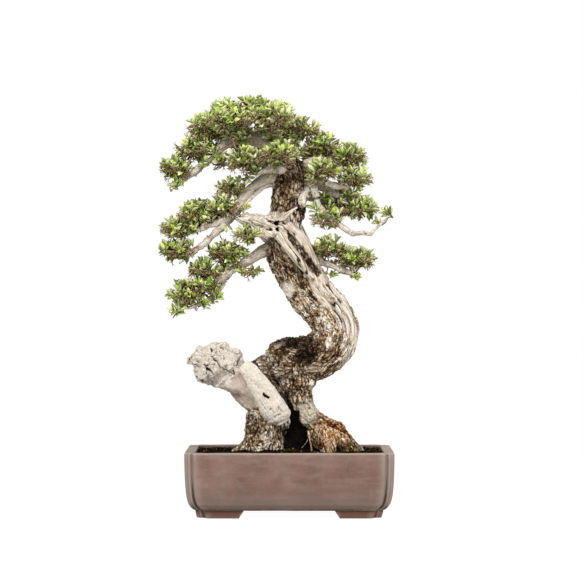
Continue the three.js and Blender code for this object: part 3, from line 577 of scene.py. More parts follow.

# ---- Trunk -------------------------------------------------------------------------------------
# The living wood: an S-shaped trunk on a narrow neck, its burl, the hollow back between the legs,
# the surface roots and the collars of the branches, all grown in one. It is covered in small hard
# nodules of bark with deep dark cracks between them, their darkness partly painted shade. The
# hollow between the legs and the crease over the burl are painted near-black: painted shade.
LIMBS = {
    "trunk": [
        (86, 0, 78, 27), (84, 0, 108, 33), (70, 0, 142, 27), (42, 0, 180, 23), (26, 1, 205, 19.5),
        (21, 2, 229, 20), (19, 3, 252, 33), (14, 4, 280, 39), (26, 4, 298, 42), (52, 2, 301, 47),
        (76, 0, 323, 47), (85, 0, 356, 45), (64, 0, 393, 45), (34, 0, 432, 45), (10, 0, 475, 43),
        (-3, 0, 514, 41), (-10, 0, 549, 34), (-8, 0, 580, 32), (-3, 0, 611, 33), (1, 0, 638, 36),
        (-1, 0, 665, 32), (-9, 0, 689, 20),
    ],
    "burl": [(24, 4, 296, 40), (-4, 5, 297, 42), (-26, 5, 298, 37), (-40, 5, 299, 27), (-49, 5, 300, 13)],
    "stump": [
        (-52, -4, 78, 36), (-50, -4, 115, 46), (-46, -4, 146, 40), (-45, -4, 179, 39), (-53, -4, 208, 34),
        (-80, -4, 238, 31), (-104, -5, 259, 32), (-126, -7, 278, 37), (-149, -7, 288, 40),
        (-170, -6, 286, 38), (-188, -7, 283, 27),
    ],
    "hollow_back": [
        (-66, 22, 298, 18), (-47, 24, 266, 24), (-24, 26, 226, 29), (-9, 26, 189, 35), (2, 24, 150, 42),
        (4, 20, 100, 45),
    ],
    "slab": [
        (-92, -28, 286, 13), (-76, -34, 270, 18), (-60, -37, 247, 21), (-46, -38, 225, 24),
        (-34, -39, 205, 26), (-21, -38, 187, 24), (-15, -36, 174, 13),
    ],
    "stump_face": [(-122, -10, 292, 26), (-124, -30, 294, 24), (-125, -38, 295, 18)],
    "stump_spike": [(-162, -8, 296, 20), (-186, -10, 296, 14), (-201, -10, 296, 7)],
    "stump_knob": [(-128, -2, 294, 26), (-106, -6, 300, 21), (-95, -8, 303, 14)],
    "stump_crest": [(-130, 0, 306, 18), (-148, 2, 322, 9), (-153, 2, 330, 4)],
    "jin": [
        (-8, -8, 530, 30), (-38, -18, 550, 27), (-65, -22, 560, 19), (-87, -24, 568, 10),
        (-106, -24, 571, 4),
    ],
    "jin_horn": [(-26, -34, 562, 6), (-5, -42, 578, 4.5), (13, -44, 592, 2.2)],
    "splinter": [(-28, -32, 548, 7), (-6, -46, 516, 8.5), (18, -48, 486, 8.5), (42, -40, 454, 4)],
    "strand_front": [
        (-8, -22, 556, 15), (16, -28, 524, 19), (32, -30, 492, 18), (50, -28, 462, 14), (64, -24, 430, 17),
        (88, -18, 402, 17), (104, -12, 366, 14), (115, -6, 336, 8),
    ],
    "strand_side": [
        (14, 2, 552, 11), (28, 4, 522, 12), (40, 4, 486, 13), (52, 4, 446, 14), (79, 6, 408, 14),
        (104, 6, 372, 12), (113, 4, 340, 9),
    ],
    "root_left": [(-72, -6, 135, 20), (-97, -10, 120, 12), (-122, -14, 104, 6)],
    "root_left_front": [(-58, -24, 128, 20), (-62, -44, 113, 11), (-66, -64, 100, 6)],
    "root_left_back": [(-48, 26, 132, 20), (-58, 56, 117, 12), (-68, 82, 102, 6)],
    "root_right": [
        (50, -4, 168, 22), (82, -8, 150, 26), (104, -10, 134, 23), (126, -10, 118, 15), (150, -12, 102, 6),
    ],
    "root_right_front": [(66, -18, 150, 20), (70, -44, 132, 17), (76, -66, 115, 11), (82, -84, 102, 5)],
    "root_right_back": [(60, 26, 142, 20), (66, 56, 121, 13), (74, 84, 102, 6)],
    "left_lower": [
        (-22, -4, 516, 18), (-51, -8, 508, 13), (-75, -10, 493, 10), (-94, -12, 482, 9),
        (-120, -14, 465, 8.5), (-147, -16, 448, 8), (-172, -18, 434, 7), (-201, -20, 416, 6),
        (-228, -22, 395, 4.6),
    ],
    "left_lower_drop": [
        (-124, -14, 460, 5), (-134, -14, 436, 4), (-150, -16, 421, 3.6), (-172, -18, 406, 3),
        (-197, -20, 396, 2.4),
    ],
    "left_upper": [
        (-18, 0, 658, 20), (-52, -4, 645, 13), (-75, -8, 629, 11), (-92, -12, 611, 10.5),
        (-105, -12, 590, 9.6), (-117, -12, 572, 8.4), (-133, -14, 553, 7.2), (-150, -16, 537, 6.6),
        (-170, -18, 519, 6.2), (-196, -20, 504, 5.4), (-226, -20, 495, 4.2),
    ],
    "left_upper_fork": [
        (-112, -12, 576, 8), (-140, -16, 563, 6.8), (-174, -18, 552, 6), (-204, -18, 542, 5.2),
        (-230, -18, 536, 4.2),
    ],
    "left_upper_strut": [(-30, -4, 640, 7), (-56, -14, 628, 4.2), (-76, -16, 610, 3.8), (-96, -14, 590, 5)],
    "left_back": [(-92, -8, 606, 9), (-110, 12, 578, 6.5), (-140, 30, 570, 5), (-158, 36, 568, 4)],
    "right_low": [
        (30, 8, 504, 14), (62, 8, 486, 8.5), (86, 4, 478, 6.6), (106, 2, 470, 5.6), (124, 0, 463, 4.2),
    ],
    "right_mid": [
        (20, -6, 622, 12), (37, -12, 635, 9), (48, -12, 619, 7.6), (54, -12, 600, 6.8), (72, -12, 577, 6.2),
        (88, -12, 564, 5.8), (105, -12, 551, 5.4), (122, -12, 541, 5.1), (141, -12, 542, 4.4),
        (159, -12, 539, 3.8),
    ],
    "right_tip": [(155, -12, 540, 3.2), (172, -12, 557, 2.5), (189, -12, 572, 2.2)],
    "right_knob": [(32, -14, 628, 9), (22, -26, 608, 7.5), (26, -28, 592, 6)],
    "right_high": [(12, 4, 645, 14), (52, 12, 634, 9), (84, 14, 622, 7), (110, 8, 606, 5.2)],
    "right_shelf": [(12, -2, 655, 14), (55, -8, 646, 9), (88, -10, 636, 6.6), (114, -10, 632, 5)],
    "right_back": [(8, 10, 628, 13), (42, 34, 612, 8), (78, 50, 596, 5.4)],
    "mid_back": [(14, 18, 500, 15), (12, 55, 496, 9), (10, 78, 497, 6)],
    "crown_left": [
        (-1, 0, 664, 26), (-18, 4, 698, 19.5), (-44, 2, 716, 15.6), (-75, -2, 726, 13.6),
        (-102, -6, 726, 11.7), (-128, -8, 714, 9.7), (-151, -10, 693, 9), (-171, -12, 675, 7.6),
        (-196, -14, 656, 6.2), (-220, -16, 640, 5), (-240, -16, 636, 3.4),
    ],
    "crown_top": [(-8, 0, 680, 18), (-18, 2, 712, 12), (-38, 2, 742, 9), (-62, 0, 762, 6)],
    "crown_right": [
        (6, 0, 658, 20), (36, 0, 676, 13), (66, 0, 684, 9.7), (94, 0, 676, 7.6), (112, 0, 666, 5.6),
    ],
    "crown_rise": [(2, 0, 676, 14), (4, 2, 706, 9), (-6, 2, 738, 6.5)],
    "crown_fore": [(-16, -2, 714, 9), (-28, -24, 728, 6), (-36, -40, 736, 4.4)],
    "crown_left_fore": [(-92, -6, 727, 8), (-106, -28, 732, 5.4), (-114, -42, 734, 4)],
    "crown_front": [(-6, -8, 664, 15), (-26, -36, 666, 9.5), (-50, -52, 662, 6.6), (-74, -58, 658, 4.6)],
    "crown_right_front": [(26, -4, 668, 9), (44, -24, 652, 6.4), (54, -36, 640, 4.6)],
    "crown_back_left": [(-22, 6, 700, 12), (-54, 32, 710, 8), (-86, 48, 716, 6), (-112, 54, 717, 4.6)],
    "crown_back": [(-10, 6, 694, 11), (-14, 36, 718, 7.4), (-20, 52, 732, 5)],
    "crown_back_right": [(8, 6, 662, 14), (32, 36, 672, 8), (54, 50, 678, 5.4)],
    "crown_back_low": [(-4, 10, 650, 15), (-14, 46, 654, 8.6), (-20, 66, 658, 5.6)],
}
TREE_X, TREE_Z = 2, 2  # the tree's own zero, from the middle of the pot


class Limb:
    """A limb's centre line, radius and own axes, worked out every few millimetres."""

    def __init__(self, stations, pace=4.0, depth=1.0):
        self.depth = depth
        knots = [Vector((x + TREE_X, y, z + TREE_Z)) for x, y, z, _ in stations]
        knots = [2 * knots[0] - knots[1]] + knots + [2 * knots[-1] - knots[-2]]
        line, radius = [], []
        for index in range(len(stations) - 1):
            p = knots[index : index + 4]
            gaps = [max((p[i + 1] - p[i]).length ** 0.5, 1e-4) for i in range(3)]
            leave, reach = (
                (
                    (p[i + 1] - p[i]) / gaps[i] - (p[i + 2] - p[i]) / (gaps[i] + gaps[i + 1])
                    + (p[i + 2] - p[i + 1]) / gaps[i + 1]
                ) * gaps[1]
                for i in (0, 1)
            )
            steps = max(2, round((p[2] - p[1]).length / pace))
            last = index == len(stations) - 2
            for step in range(steps + last):
                t = step / steps
                line.append(
                    p[1] * (2 * t**3 - 3 * t**2 + 1) + leave * (t**3 - 2 * t**2 + t)
                    + p[2] * (3 * t**2 - 2 * t**3) + reach * (t**3 - t**2)
                )
                ease = t * t * (3 - 2 * t)
                radius.append(stations[index][3] * (1 - ease) + stations[index + 1][3] * ease)
        self.line, self.radius = np.array(line), np.array(radius)
        self.forward = np.gradient(self.line, axis=0)
        self.forward /= np.linalg.norm(self.forward, axis=1)[:, None]
        normal = Vector((0, 1, 0)) if abs(self.forward[0][1]) <= 0.8 else Vector((0, 0, 1))
        self.front, self.across = np.empty_like(self.line), np.empty_like(self.line)
        for index, way in enumerate(self.forward):
            way = Vector(way)
            normal = (normal - way * normal.dot(way)).normalized()
            self.front[index], self.across[index] = normal, way.cross(normal)
        gaps = np.linalg.norm(np.diff(self.line, axis=0), axis=1)
        self.along = np.concatenate(([0], np.cumsum(gaps)))

    def straightened(self, at):
        """For each point: its place as if the limb were straight, how far outside it is, and the radius."""
        best, where = np.full(len(at), 1e9), np.zeros(len(at), int)
        for index, (centre, size) in enumerate(zip(self.line, self.radius)):
            away = np.sqrt(((at - centre) ** 2).sum(1)) - size
            closer = away < best
            best[closer], where[closer] = away[closer], index
        way = at - self.line[where]
        ahead = (way * self.forward[where]).sum(1)
        flat = np.stack(((way * self.front[where]).sum(1), (way * self.across[where]).sum(1)), 1)
        reach = np.clip(abs(ahead) - 3, 0, None)
        outside = np.hypot(np.linalg.norm(flat, axis=1), reach) - self.radius[where]
        return np.column_stack((flat, self.along[where] + ahead)), outside, self.radius[where]


def tube(bm, line, radius, front, across, sides, depth=1.0, relief=None):
    """A closed tube, extruded ring by ring from a round cap."""
    ring = bmesh.ops.create_circle(bm, cap_ends=True, segments=sides, radius=1)["verts"]
    cap = ring[0].link_faces[0]
    angles = np.arange(sides) * 2 * math.pi / sides
    for index in range(len(line)):
        if index:
            made = bmesh.ops.extrude_face_region(bm, geom=[cap])["geom"]
            cap = next(f for f in made if isinstance(f, bmesh.types.BMFace))
        size = radius[index] * (relief(index / (len(line) - 1), angles) if relief else 1)
        ring_at = (
            line[index]
            + np.outer(np.cos(angles) * size * depth, front[index])
            + np.outer(np.sin(angles) * size, across[index])
        )
        for vert, place in zip(cap.verts, ring_at):
            vert.co = place


def bark_ribs(t, angle):
    return (
        1 + 0.05 * np.sin(3 * angle + 11 * t) + 0.045 * np.sin(5 * angle - 17 * t)
        + 0.03 * np.sin(9 * angle + 40 * t)
    )


def broken_knobs(t, angle):
    head = 0.16 * np.sin(3 * angle + 60 * t) if t > 0.75 else 0
    return 1 + 0.08 * np.sin(4 * angle + 25 * t) + head


def stripped_ridges(t, angle):
    return 1 + 0.14 * np.cos(4 * angle + 7 * t)


DEPTHS = {"trunk": 0.86, "burl": 0.9, "stump": 0.82, "slab": 0.5}
RELIEFS = {
    "trunk": bark_ribs, "hollow_back": bark_ribs, "root_right": bark_ribs, "stump": broken_knobs,
    "jin": stripped_ridges,
}
COLLAR_START, COLLAR_END = 12, 9  # a bough this thick leaves from a collar, which ends where it is thinner


def thick_part(stations):
    """The stations of a bough's collar, as far as it is thick enough to grow out of the trunk."""
    count = next((i for i, s in enumerate(stations) if s[3] < COLLAR_END), len(stations))
    return stations[: max(2, count)]


def grown(name, limbs, voxel):
    """Limbs that overlap, skinned over as one body. Loose inner skins are dropped."""
    bm = bmesh.new()
    for key, limb in limbs.items():
        sides = 24 if max(limb.radius) > 20 else 14
        tube(bm, limb.line, limb.radius, limb.front, limb.across, sides, limb.depth, RELIEFS.get(key))
    bmesh.ops.recalc_face_normals(bm, faces=bm.faces)
    piece = piece_of(bm, name)
    skin = piece.modifiers.new("skin", "REMESH")
    skin.mode, skin.voxel_size = "VOXEL", voxel * MM
    settled(piece)
    bm = bmesh.new()
    bm.from_mesh(piece.data)
    left, bodies = set(bm.verts), []
    while left:
        queue, body = [next(iter(left))], set()
        body.add(queue[0])
        while queue:
            vert = queue.pop()
            for edge in vert.link_edges:
                other = edge.other_vert(vert)
                if other not in body:
                    body.add(other)
                    queue.append(other)
        left -= body
        bodies.append(body)
    for body in sorted(bodies, key=len)[:-1]:
        bmesh.ops.delete(bm, geom=list(body), context="VERTS")
    bm.to_mesh(piece.data)
    bm.free()
    return piece


def follow(at, limbs):
    """For points in millimetres: the straightened place on the nearest limb, its radius and its number."""
    best = np.full(len(at), 1e9)
    place, size, name = np.zeros((len(at), 3)), np.zeros(len(at)), np.zeros(len(at), int)
    for index, limb in enumerate(limbs.values()):
        straight, outside, radius = limb.straightened(at)
        closer = outside < best
        best[closer] = outside[closer]
        place[closer] = straight[closer] + [0, 0, index * 137.0]
        size[closer], name[closer] = radius[closer], index
    return place, size, name


def cracked(at, seed):
    """For uneven cells: 0 in the crack between two and near 1 inside one, and each cell's own number."""
    home = np.floor(at)
    first, second, own = np.full(len(at), 9.0), np.full(len(at), 9.0), np.zeros(len(at))
    for step in product((-1, 0, 1), repeat=3):
        cell = home + np.array(step)
        centre = cell + np.stack([scatter(cell, seed + axis) for axis in range(3)], 1)
        away = np.sqrt(((at - centre) ** 2).sum(1))
        own = np.where(away < first, scatter(cell, seed + 3), own)
        second = np.where(away < first, first, np.minimum(second, away))
        first = np.minimum(first, away)
    return np.clip((second - first) * 2.2, 0, 1), own


def eased(value, low, high):
    share = np.clip((value - low) / (high - low), 0, 1)
    return share * share * (3 - 2 * share)


def near(at, x, z, wide, tall, soft=0.5):
    """1 inside an upright oval, as seen from the front, and 0 well outside it."""
    away = np.hypot((at[:, 0] - x - TREE_X) / wide, (at[:, 2] - z - TREE_Z) / tall)
    return 1 - eased(away, 1 - soft, 1 + soft)


def groove(at, x1, z1, x2, z2, wide):
    """1 on a ragged line as seen from the front, and 0 further from it than its width."""
    a, b = np.array((x1 + TREE_X, z1 + TREE_Z)), np.array((x2 + TREE_X, z2 + TREE_Z))
    flat = at[:, (0, 2)] + 5 * (np.stack((layered(at / 8, 501, 2), layered(at / 8, 502, 2)), 1) - 0.5)
    share = np.clip(((flat - a) @ (b - a)) / ((b - a) @ (b - a) + 1e-9), 0, 1)
    away = np.linalg.norm(flat - a - share[:, None] * (b - a), axis=1)
    return 1 - eased(away, wide * 0.35, wide)


def barked(place, size, seed):
    """Old bark: its height in millimetres, how deep in a crack each point is, and its plate's own tone."""
    bent = place + 9 * (layered(place / 12, seed, 3) - 0.5)[:, None]
    plates, own = cracked(bent / (7, 7, 12), seed + 9)
    plate = eased(plates, 0, 0.7)
    lumps = layered(place / (12, 12, 16), seed + 20, 3) - 0.5
    burls = layered(place / (38, 38, 42), seed + 31, 2) - 0.5
    fissure = eased(abs(layered(bent / (15, 15, 44), seed + 11, 3) - 0.5), 0.05, 0.0)
    worn = eased(cloud(place / (20, 20, 32), seed + 51), 0.4, 0.8)
    height = (2.2 - worn) * (plate - 0.6) - 2.6 * fissure + 8 * lumps + 13 * burls + 1.4 * (own - 0.5)
    # cracks darker, partly painted shade, and darker still in the dips between lumps: painted shade
    crack = np.maximum((0.75 - 0.3 * worn) * (1 - plate), 0.8 * fissure) - 0.8 * lumps
    # the raised lumps lighter: a painted highlight
    own = 0.5 + 0.3 * (own - 0.5) + 0.15 * (worn - 0.5) + 0.35 * lumps
    return height * np.clip(size / 34, 0.12, 1), np.clip(crack, 0, 1), np.clip(own, 0, 1)


def weathered(place, size, seed):
    """Height in millimetres of bare grey deadwood with its long grain, and how deep each groove is."""
    drift = 7 * (layered(place / (25, 25, 60), seed + 30, 2) - 0.5)[:, None] * (1, 1, 0)
    grain = layered((place + drift) / (5, 5, 70), seed, 3)
    ridge = 1 - abs(2 * grain - 1) * 2.4
    split = eased(abs(layered((place + drift) / (12, 12, 130), seed + 7, 2) - 0.5), 0.045, 0.0)
    lumps = layered(place / (20, 20, 34), seed + 12, 3) - 0.5
    height = 2.0 * ridge - 4.2 * split + 6 * lumps
    # the grain's furrows and the splits darker: painted shade
    groove_depth = np.clip(0.6 * eased(ridge, 0.35, -0.35) + 0.95 * split, 0, 1)
    return height * np.clip(size / 24, 0.12, 1), groove_depth


def chalky(at, seed):
    """Height in millimetres of wood worn smooth and bleached white, and how deep its pits and cracks are."""
    lumps = layered(at / (15, 15, 13), seed + 3, 3) - 0.5
    dents, _ = cracked(at / 21 + 0.9 * layered(at / 14, seed, 3)[:, None], seed + 5)
    pits = eased(cloud(at / 4.2, seed + 8), 0.2, 0.1) * eased(cloud(at / 16, seed + 9), 0.45, 0.7)
    hairline = eased(abs(layered(at / (19, 19, 25), seed + 13, 2) - 0.5), 0.02, 0.0)
    hairline = hairline * eased(cloud(at / 22, seed + 14), 0.5, 0.65)
    height = 10 * lumps + 2.6 * (eased(dents, 0, 0.3) - 1) - 1.6 * pits - 1.2 * hairline
    # pits, hairline cracks, the creases between dents and the dips between lumps darker: painted shade
    deep = 0.9 * pits + 0.7 * hairline + 0.5 * (1 - eased(dents, 0, 0.16)) - 0.9 * lumps - 0.1
    return height, np.clip(deep, 0, 1)


# bark, bare wood, rust-coloured root, lichen and moss, each where the surface is marked for it,
# and near-black painted shade in holes, creases and the hollow between the legs
wood = Finish("bark_and_deadwood")
where = wood.place((1000, 1000, 1000))
speck, patch = wood.noise(where, 0.3, 4, 0.66), wood.noise(where, 0.055, 4, 0.6)
streak = wood.noise(wood.place((0.42, 0.42, 0.026), "grain"), 1.0, 5, 0.68)
fine = wood.noise(where, 1.1, 2)
scaly = wood.bent(wood.place((0.26, 0.26, 0.11), "grain"), 1.6)
scale_tone = wood.cells(scaly, 1.0, output="Color")
scale_edge = wood.between(wood.cells(scaly, 1.0, "DISTANCE_TO_EDGE"), 0.01, 0.15)
plates = wood.cells(wood.bent(wood.place((0.12, 0.12, 0.06), "grain"), 2.2), 1.0, "DISTANCE_TO_EDGE")
plate_edge = wood.between(plates, 0.02, 0.2)
# each plate is painted lighter towards its middle: a painted highlight, over its own tones
plate = wood.share("plate") * 0.8 + scale_tone * 0.5 + speck + wood.between(plates, 0.08, 0.36) * 0.25 - 0.64
crack, bare, chalk = wood.share("crack"), wood.share("bare"), wood.share("chalk")
pale = wood.ramp(
    plate, (0.15, 98, 72, 44), (0.38, 160, 126, 88), (0.54, 210, 178, 138), (0.74, 252, 240, 222),
)
brown = wood.ramp(plate, (0.2, 36, 20, 7), (0.42, 90, 64, 38), (0.56, 142, 112, 80), (0.76, 218, 196, 168))
bark = wood.mix(wood.share("dark"), pale, brown)
bark = wood.mix(wood.between(patch, 0.48, 0.64) * 0.16, bark, (150, 112, 66))
# near-black in the cracks and along the edges of scales and plates: dark furrows and painted shade
gap = wood.between(crack * 0.8 - scale_edge * 0.32 - plate_edge * 0.32 + 0.58, 0.14, 0.98)
bark = wood.mix(gap * 0.95, bark, (26, 14, 5))
dead = wood.ramp(
    streak, (0.3, 100, 78, 54), (0.42, 176, 156, 132), (0.53, 228, 217, 202), (0.7, 250, 245, 238),
)
dead = wood.mix(wood.between(patch, 0.5, 0.68) * 0.35, dead, (184, 158, 130))
white = wood.ramp(speck, (0.3, 188, 175, 156), (0.46, 219, 210, 196), (0.66, 239, 233, 223))
white = wood.mix(wood.between(wood.share("plate"), 0.45, 0.15) * 0.6, white, (200, 180, 154))
greyed = wood.ramp(patch, (0.4, 148, 124, 106), (0.6, 196, 176, 160))
white = wood.mix(wood.share("dark"), white, greyed)
dead = wood.mix(chalk, dead, white)
# deadwood darker in its cracks, grooves and pits: painted shade
dead = wood.mix(wood.between(crack, 0.22, 0.85), dead, (52, 36, 20))
colour = wood.mix(bare, bark, dead)
rust = wood.ramp(plate, (0.2, 96, 40, 6), (0.38, 184, 104, 36), (0.56, 224, 170, 110), (0.72, 250, 228, 196))
# the root's cracks near-black: dark furrows and painted shade
rust = wood.mix(gap, rust, (46, 18, 2))
colour = wood.mix(wood.share("rust"), colour, rust)
crust = wood.ramp(speck, (0.34, 162, 140, 108), (0.48, 222, 208, 182), (0.62, 248, 240, 226))
colour = wood.mix(wood.share("lichen") * wood.between(patch, 0.36, 0.5), colour, crust)
# near-black painted shade, for holes, creases and the hollow between the legs
painted_shade_tone = wood.ramp(speck, (0.44, 5, 3, 2), (0.6, 20, 14, 9), (0.72, 64, 50, 36))
colour = wood.mix(wood.share("painted_shade"), colour, painted_shade_tone)
colour = wood.mix(wood.share("moss") * wood.between(fine, 0.4, 0.55), colour, (96, 98, 34))
height = speck * 1.1 + fine * 0.5 + streak * bare * 1.5 + (scale_edge + plate_edge) * (1 - bare) * 1.2
weathered_wood = wood.surface(colour, 0.86 - bare * 0.1, height, 0.0012, 0.1)

WOOD_MARKS = ("bare", "chalk", "dark", "rust", "lichen", "painted_shade", "moss", "plate", "crack")


def finish_wood(piece, place, marks):
    """Stores the marks that the wood's finish reads, each 0 where it isn't given, and coats the piece."""
    mark(piece.data, "grain", place, "FLOAT_VECTOR")
    for key in WOOD_MARKS:
        mark(piece.data, key, np.clip(marks.get(key, np.zeros(len(place))), 0, 1))
    piece.data.shade_smooth()
    coat(piece, weathered_wood)


def wooden(piece, limbs, seed, painted):
    """Carves a skinned piece with bark or deadwood and finishes it. painted fills in its marks."""
    at, outward = read(piece.data) / MM - (POT_X, POT_Y, 0), read(piece.data, "normal")
    place, size, name = follow(at, limbs)
    marks = {key: np.zeros(len(at)) for key in WOOD_MARKS + ("dug", "smooth", "pale")}
    painted(at, outward, np.array(list(limbs))[name], marks)
    height, crack, plate = barked(place, size, seed)
    for share, (other_height, other_crack) in (
        (marks["bare"], weathered(place, size, seed + 50)), (marks["chalk"], chalky(at, seed + 90)),
    ):
        share = np.clip(share, 0, 1)
        height = height * (1 - share) + other_height * share
        crack = crack * (1 - share) + other_crack * share
    height = height * (1 - 0.7 * np.clip(marks["smooth"], 0, 1)) - marks["dug"]
    write(piece.data, (at + outward * height[:, None] + (POT_X, POT_Y, 0)) * MM)
    marks["plate"] = plate + marks["pale"]
    # dug holes and grooves darker: painted shade
    marks["crack"] = crack * (1 - 0.5 * marks["smooth"]) + marks["dug"] / 7
    finish_wood(piece, place, marks)
    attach(piece, "root")
    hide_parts("tree")


LIVING = [key for key in LIMBS if key.startswith(("left_", "right_", "crown_", "mid_"))]
ROOTED = ("trunk", "burl", "hollow_back", "root_right", "root_right_front", "root_right_back")
trunk_limbs = {key: Limb(LIMBS[key], depth=DEPTHS.get(key, 1.0)) for key in ROOTED}
for key in LIVING:
    if LIMBS[key][0][3] >= COLLAR_START:
        trunk_limbs[key] = Limb(thick_part(LIMBS[key]))
stripped = [Limb(LIMBS[key]) for key in ("strand_front", "strand_side", "jin")]


def trunk_marks(at, outward, name, marks):
    x, _, z = at.T
    front = outward[:, 1] < 0.35
    branch = np.isin(name, LIVING)
    beside = np.min([limb.straightened(at)[1] for limb in stripped], 0)
    ragged = 9 * (layered(at / (12, 12, 30), 401, 2) - 0.5)
    knob = near(at + 12 * (layered(at / 7, 404, 2) - 0.5)[:, None], -4, 432, 11, 14, 0.3) * front
    scar = near(at, -24, 508, 26, 25, 0.3)
    marks["bare"] = np.maximum.reduce([
        (1 - eased(beside + ragged, 5, 10)) * (1 - 0.9 * scar), knob, 0.75 * branch * (1 - scar),
    ])
    marks["chalk"] = np.maximum(0.9 * knob, 0.55 * branch * (1 - scar))
    marks["smooth"] = 0.8 * branch
    burl = near(at, 8, 304, 58, 44, 0.4)
    forward = 1 - eased(outward[:, 1], 0.1, 0.5)
    inside = ((name == "hollow_back") | (x < 20) & (z < 200)) * forward
    thin_bark = 1 - 0.75 * branch
    # a pale streak of plates on the burl's lower left; the burl's top painted darker: painted shade
    marks["pale"] = 0.4 * groove(at, -48, 308, -12, 258, 11) - 0.15 * near(at, 6, 320, 44, 22)
    # darker bark up the trunk and on the burl; painted shade on the hollow's back wall, and partly  on the
    # brown bark left of the splinter
    marks["dark"] = np.maximum.reduce([
        0.85 * eased(z, 500, 556) * thin_bark, 0.8 * eased(z, 432, 466) * thin_bark, 0.85 * burl,
        0.8 * (name == "hollow_back"), 0.75 * scar,
    ])
    # near-black painted shade: the crease over the burl, the hollow between the legs and its mouth
    marks["painted_shade"] = np.maximum.reduce([
        0.7 * near(at, 4, 332, 44, 14) * (outward[:, 2] > -0.3), 0.6 * near(at, 30, 306, 16, 22),
        inside * (0.4 + 0.6 * (1 - eased(z, 206, 240))),
        (1 - eased(x - 16 * eased(z, 190, 160), 14, 24)) * (1 - eased(z, 186, 206)) * forward,
    ])
    # grooves dug in the root mass, painted near-black inside: painted shade
    hollows = near(at, 82, 142, 50, 36) * eased(abs(layered(at / 15, 405, 3) - 0.5), 0.075, 0.015)
    marks["dug"] += 3.4 * hollows
    marks["pale"] -= 0.14 * near(at, 78, 148, 50, 40, 0.3)
    marks["painted_shade"] = np.maximum(marks["painted_shade"], 0.7 * hollows)
    marks["lichen"] = 0.95 * near(at, 33, 196, 20, 22) * eased(x, 8, 18)
    marks["rust"] = 0.95 * near(at, 80, 148, 44, 34) * eased(x, 34, 46)
    marks["moss"] = 0.9 * (1 - eased(z, 122, 142)) * eased(x, 92, 112)


wooden(grown("tree_trunk", trunk_limbs, 2.0), trunk_limbs, 60, trunk_marks)

# ---- Root fibres -------------------------------------------------------------------------------
# Fine rust-coloured roots that creep over the right root mass into the soil, and one that hangs
# free at the mouth of the hollow. Thin bark-covered threads, each grown on to the wood under it.
FIBRES, FIBRE_STEPS, FIBRE_FOOT = 46, 11, 104  # how many, the steps of each, and the height it ends at


def fibre(bm, path, radius, sides):
    """A thin root along places in millimetres."""
    axes = [np.tile(axis, (len(path), 1)) for axis in ((0.0, -1.0, 0.0), (1.0, 0.0, 0.0))]
    tube(bm, path, radius, *axes, sides)


ground = BVHTree.FromObject(bpy.data.objects["tree_trunk"], bpy.context.evaluated_depsgraph_get())
bm = bmesh.new()
draw = random.Random(21)
for _ in range(FIBRES):
    x, y = draw.uniform(46, 112), draw.uniform(-60, -14)
    drift, slope = draw.gauss(0.25, 0.5), draw.uniform(0.5, 1.2)
    path = []
    for step in range(FIBRE_STEPS):
        x += 5 * (drift + draw.gauss(0, 0.35))
        top = 176 - 0.45 * abs(x - 60) - step * 7 * slope
        before_it = Vector((x + TREE_X + POT_X, -300 + POT_Y, top)) * MM
        hit = ground.ray_cast(before_it, Vector((0, 1, 0)))[0]
        if hit is None or top < FIBRE_FOOT:
            break
        path.append(np.array(hit) / MM - (POT_X, POT_Y + 0.5, 0))
    if len(path) > 3:
        fibre(bm, np.array(path), draw.uniform(0.9, 2.3) * np.linspace(1, 0.5, len(path)), 5)
hanging = [(34, -34, 160), (37, -44, 146), (40, -50, 130), (42, -52, 114), (43, -52, 100)]
fibre(bm, np.array(hanging) + (TREE_X, 0, TREE_Z), np.linspace(2.2, 1.3, len(hanging)), 6)
bmesh.ops.recalc_face_normals(bm, faces=bm.faces)
fibres = piece_of(bm, "root_fibres")
at = read(fibres.data) / MM - (POT_X, POT_Y, 0)
finish_wood(fibres, at, {"plate": layered(at / 9, 87, 2) * 1.1 - 0.02, "rust": np.full(len(at), 0.85)})
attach(fibres, "root")
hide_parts("tree")

# ---- Stump -------------------------------------------------------------------------------------
# The second leg: barked at its foot, then worn smooth, ending in the bleached and broken head of
# a lost trunk, with a spike, a raised cut face, rot holes and long splits.
stump_limbs = {
    key: Limb(LIMBS[key], depth=DEPTHS.get(key, 1.0))
    for key in LIMBS if key.startswith(("stump", "root_left"))
}


def cut_grooves(at, marks, where, lines):
    """Digs ragged lines under a mask. Each is the x and z of its two ends, its width and its depth."""
    for *ends, wide, deep in lines:
        marks["dug"] += deep * groove(at, *ends, wide) * where


